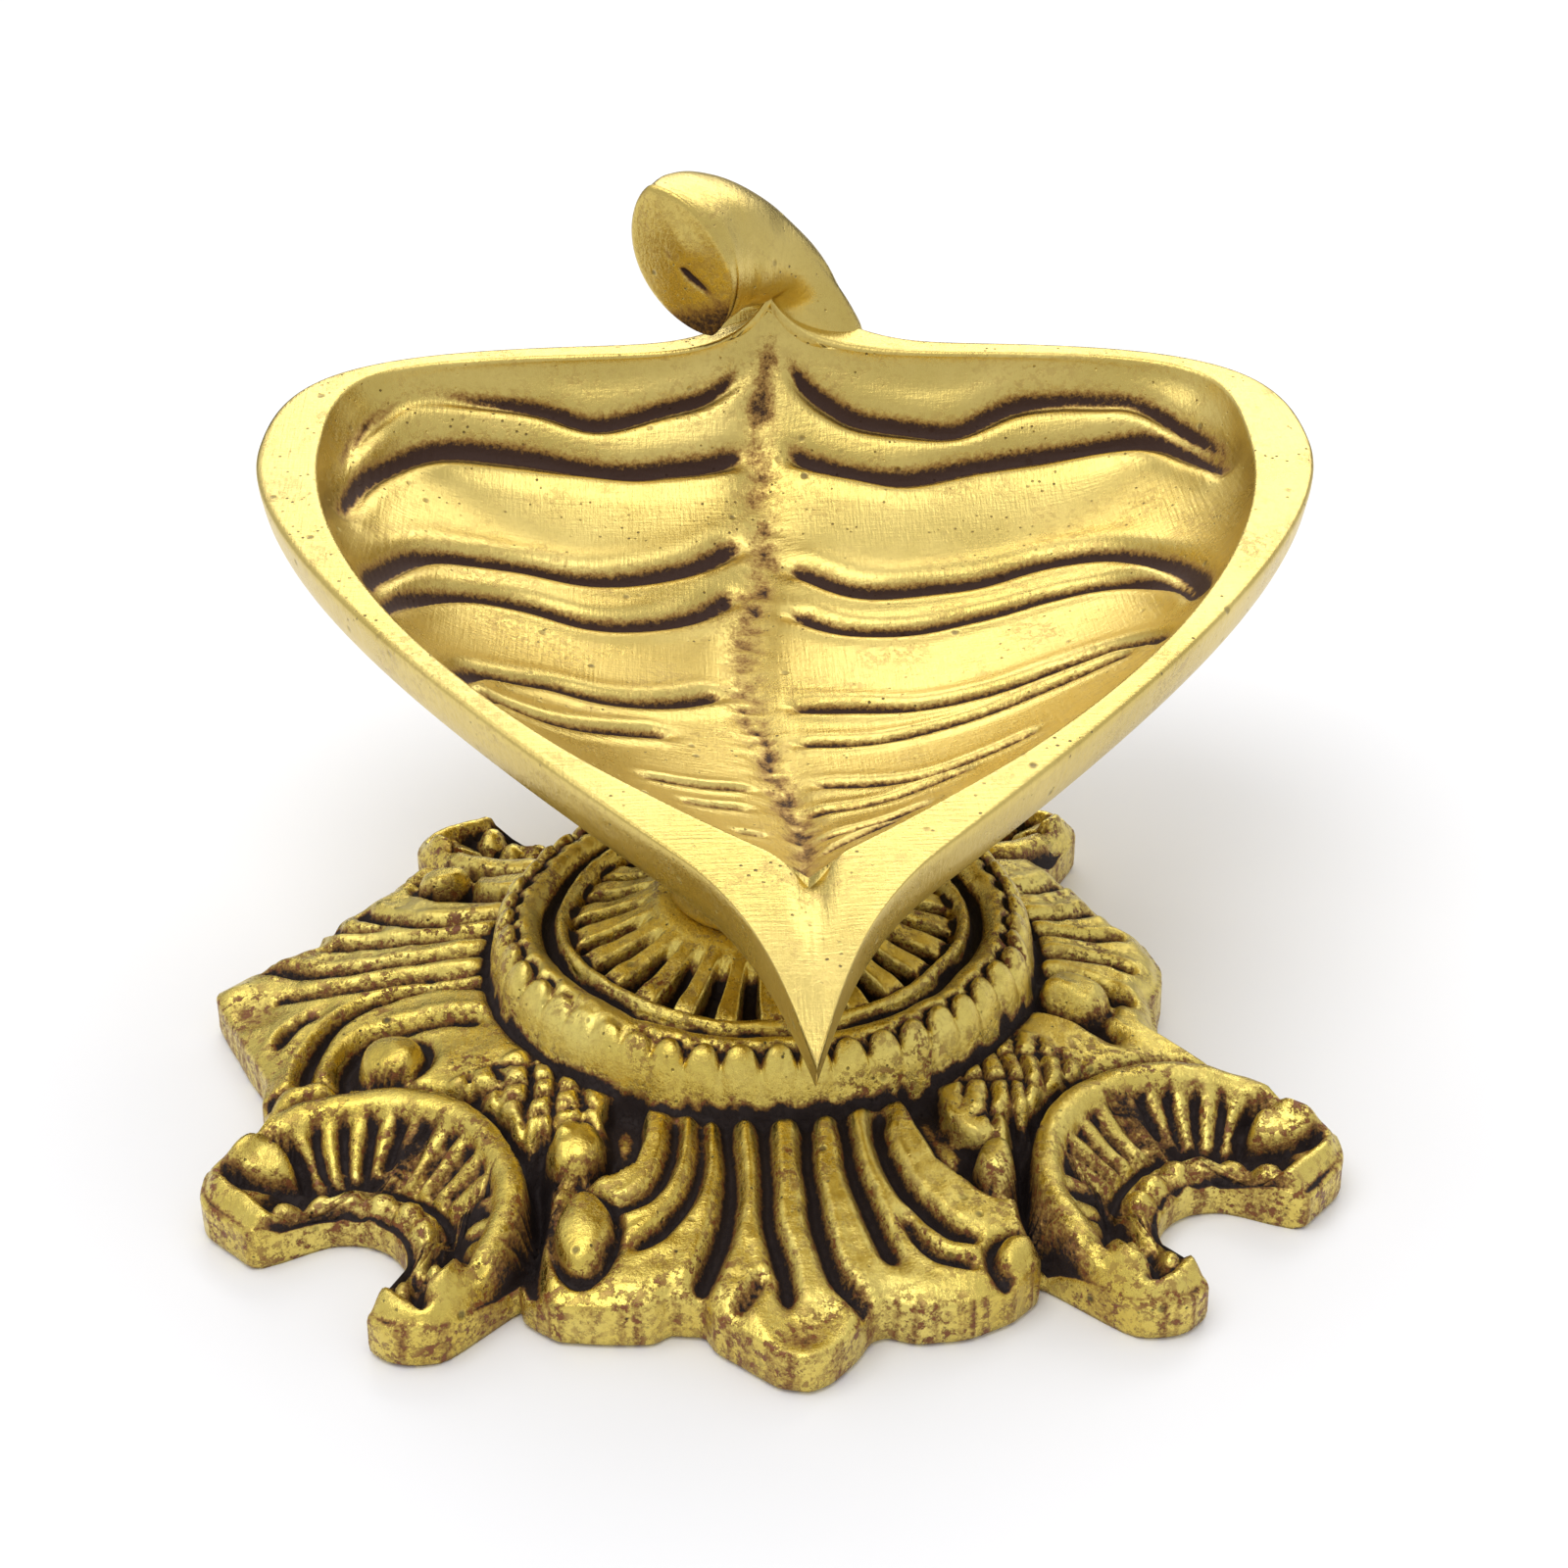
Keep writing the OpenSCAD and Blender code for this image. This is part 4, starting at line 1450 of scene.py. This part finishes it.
    def build(self) -> bpy.types.Object:
        """Build and dress the base.

        Returns:
            The piece.
        """
        angle = np.linspace(0, 2 * math.pi, self.spokes, endpoint=False)
        reach = self.outline(angle)
        inner = np.concatenate([[self.bore + 0.3, 4.5, 6.9], np.linspace(7.3, 20.0, 42)])
        share = np.linspace(0, 1, 70)[1:]
        share = share * (1.12 - 0.12 * share)
        outer = 20.0 + (reach[:, None] - self.bevel - 20.0) * share[None, :]
        r = np.hstack([np.repeat(inner[None, :], self.spokes, 0), outer])
        a = np.repeat(angle[:, None], r.shape[1], 1)
        x, y = r * np.cos(a), r * np.sin(a)
        bare = self.heights(x, y, reach[:, None] - r, rolling=False)
        z = self.heights(x, y, reach[:, None] - r, rolling=True)
        foot = smooth(r, 18.8, 19.1)
        stain = self.cavity(bare, r) * (1 - foot)
        stain = stain + self.cavity(np.minimum(bare, 7.2), r) * foot
        points = np.stack([x + SCREW_X, y + SCREW_Y, z], -1)
        numbers = self.skin.add(points, stain.ravel()).reshape(x.shape)
        for k in range(x.shape[1] - 1):
            self.skin.bridge(numbers[:, k], numbers[:, k + 1])
        last = numbers[:, -1]
        filed = Grain(0.45, 41).at(angle * 40.0, angle * 0.0)
        chatter = 0.14 * filed
        top = z[:, -1]
        levels = [(reach - 0.1, top - 0.1), (reach, top - 0.34)]
        levels += [(reach + chatter * (1 - f), (top - 0.34) * f + 0.3 * (1 - f)) for f in (0.75, 0.5, 0.25)]
        levels += [(reach - 0.02, np.full(self.spokes, 0.3)), (reach - 0.3, np.zeros(self.spokes))]
        levels.append((np.minimum(reach - 1.5, 34.0), np.zeros(self.spokes)))
        hollow = ((self.mouth, 0.0), (self.mouth - 0.4, 0.5), (22.5, 2.6), (19.0, 4.6), (16.2, self.roof),
                  (10.0, self.roof), (5.0, self.roof), (self.bore, self.roof), (self.bore, 9.0),
                  (self.bore, 11.3))
        levels += [(np.full(self.spokes, wide), np.full(self.spokes, high)) for wide, high in hollow]
        for radius, height in levels:
            row = [radius * np.cos(angle) + SCREW_X, radius * np.sin(angle) + SCREW_Y, height]
            now = self.skin.add(np.stack(row, 1), np.clip(0.2 + 0.2 * filed, 0, 1))
            self.skin.bridge(last, now)
            last = now
        self.skin.bridge(last, numbers[:, 0])
        piece = self.skin.build("ornate_foot")
        piece.data.materials.append(ANTIQUE_BRASS.make())
        seat(piece, Body.STAND, Slot.ANTIQUE, "base")
        return piece

    def cavity(self, z: Array, r: Array) -> Array:
        """How deep each point lies below its surroundings, from 0 to 1.

        Args:
            z: Heights by spoke and ring.
            r: Distances from the screw.

        Returns:
            The patina at each point.
        """
        blur = z.copy()
        stain = np.zeros(z.shape)
        for turn in range(1, self.blurs + 1):
            inward = np.hstack([blur[:, :1], blur[:, :-1]])
            outward = np.hstack([blur[:, 1:], blur[:, -1:]])
            blur = (blur * 2 + np.roll(blur, 1, 0) + np.roll(blur, -1, 0) + inward + outward) / 6
            if turn == self.early_blurs:
                stain = np.clip((blur - z) / 0.3, 0, 1)
        stain = np.maximum(stain, np.clip((blur - z) / 0.56, 0, 1))
        for _ in range(3):
            stain = (stain * 2 + np.roll(stain, 1, 0) + np.roll(stain, -1, 0)) / 4
        return stain * smooth(r, 7.0, 8.0)


# ---------------------------------------------------------------- screw and washer


@dataclass
class ClampHardware:
    """The slotted screw and its washer under the foot."""

    def dress(self) -> None:
        """Give both their plating."""
        zinc = ZincPlate().make()
        for name in ("clamp_screw", "washer"):
            node = frame["nodes"][name]
            node.data.materials.clear()
            node.data.materials.append(zinc)
            LOG.info("%s: plated", name)


# ---------------------------------------------------------------- studio


@dataclass
class Studio:
    """Camera, floor, dark card and lights."""

    eye: tuple[float, float, float] = (-0.00895, -0.14994, 0.09700)
    pitch: float = 61.8
    heading: float = -3.414
    lens: float = 54.8
    daylight: float = 0.74
    sensor: float = 36.0
    sheet: float = 3.0
    sheet_drop: float = 0.00002

    def camera(self) -> None:
        """Set up the camera."""
        data = bpy.data.cameras.new("camera")
        data.lens, data.sensor_width = self.lens, self.sensor
        data.clip_start, data.clip_end = 0.01, 20.0
        piece = bpy.data.objects.new("camera", data)
        piece.location = self.eye
        piece.rotation_euler = Euler((math.radians(self.pitch), 0.0, math.radians(self.heading)))
        bpy.context.scene.collection.objects.link(piece)
        bpy.context.scene.camera = piece

    def floor(self) -> None:
        """Lay the sheet that the lamp stands on."""
        bpy.ops.object.select_all(action="DESELECT")
        bpy.ops.mesh.primitive_plane_add(size=self.sheet, location=(0, 0, -self.sheet_drop))
        sheet = bpy.context.active_object
        sheet.name = "studio_sheet"
        sheet.data.materials.append(PaleFloor().make())

    def lamp(self, name: str, spot: tuple[float, float, float], size: tuple[float, float],
             power: float) -> None:
        """Hang a soft box that faces the lamp.

        Args:
            name: Name of the light.
            spot: Where it hangs.
            size: Its width and height.
            power: Watts.
        """
        data = bpy.data.lights.new(name, "AREA")
        data.shape, data.size, data.size_y = "RECTANGLE", *size
        data.energy = power
        box = bpy.data.objects.new(name, data)
        box.location = spot
        facing = Vector((0, 0, 0.02)) - Vector(spot)
        box.rotation_euler = facing.to_track_quat("-Z", "Y").to_euler()
        bpy.context.scene.collection.objects.link(box)

    def flag(self, name: str, spot: tuple[float, float, float], size: tuple[float, float]) -> None:
        """Stand up a dark card that the metal mirrors.

        Args:
            name: Name of the card.
            spot: Its middle.
            size: Its width and height.
        """
        bpy.ops.object.select_all(action="DESELECT")
        bpy.ops.mesh.primitive_plane_add(size=1.0, location=spot, rotation=(math.radians(90), 0, 0))
        card = bpy.context.active_object
        card.name = name
        card.data.transform(Matrix.Diagonal((*size, 1.0, 1.0)))
        card.data.materials.append(PaleFloor("dark_card", (0.05, 0.05, 0.045, 1.0)).make())

    def world(self) -> None:
        """Pale surroundings."""
        world = bpy.data.worlds.new("studio")
        world.use_nodes = True
        backdrop = world.node_tree.nodes["Background"]
        backdrop.inputs["Color"].default_value = (1.0, 1.0, 1.0, 1.0)
        backdrop.inputs["Strength"].default_value = self.daylight
        bpy.context.scene.world = world
        bpy.context.scene.view_settings.view_transform = "Standard"

    def build(self) -> None:
        """Build everything round the lamp."""
        self.camera()
        self.floor()
        self.world()
        self.lamp("key_box", (-0.16, -0.1, 0.6), (0.5, 0.5), 1.6)
        self.lamp("rear_box", (0.1, 0.45, 0.4), (0.6, 0.25), 1.2)
        self.flag("low_flag", (0.0, 1.0, 0.16), (2.2, 0.34))
        LOG.info("studio: camera, floor, card and lights")


def main() -> None:
    """Build the lamp and its surroundings."""
    logging.basicConfig(level=logging.INFO, format="%(name)s %(message)s")
    Studio().build()
    OrnateBase().build()
    LeafBowl().build()
    ClampHardware().dress()


if __name__ == "__main__":
    main()
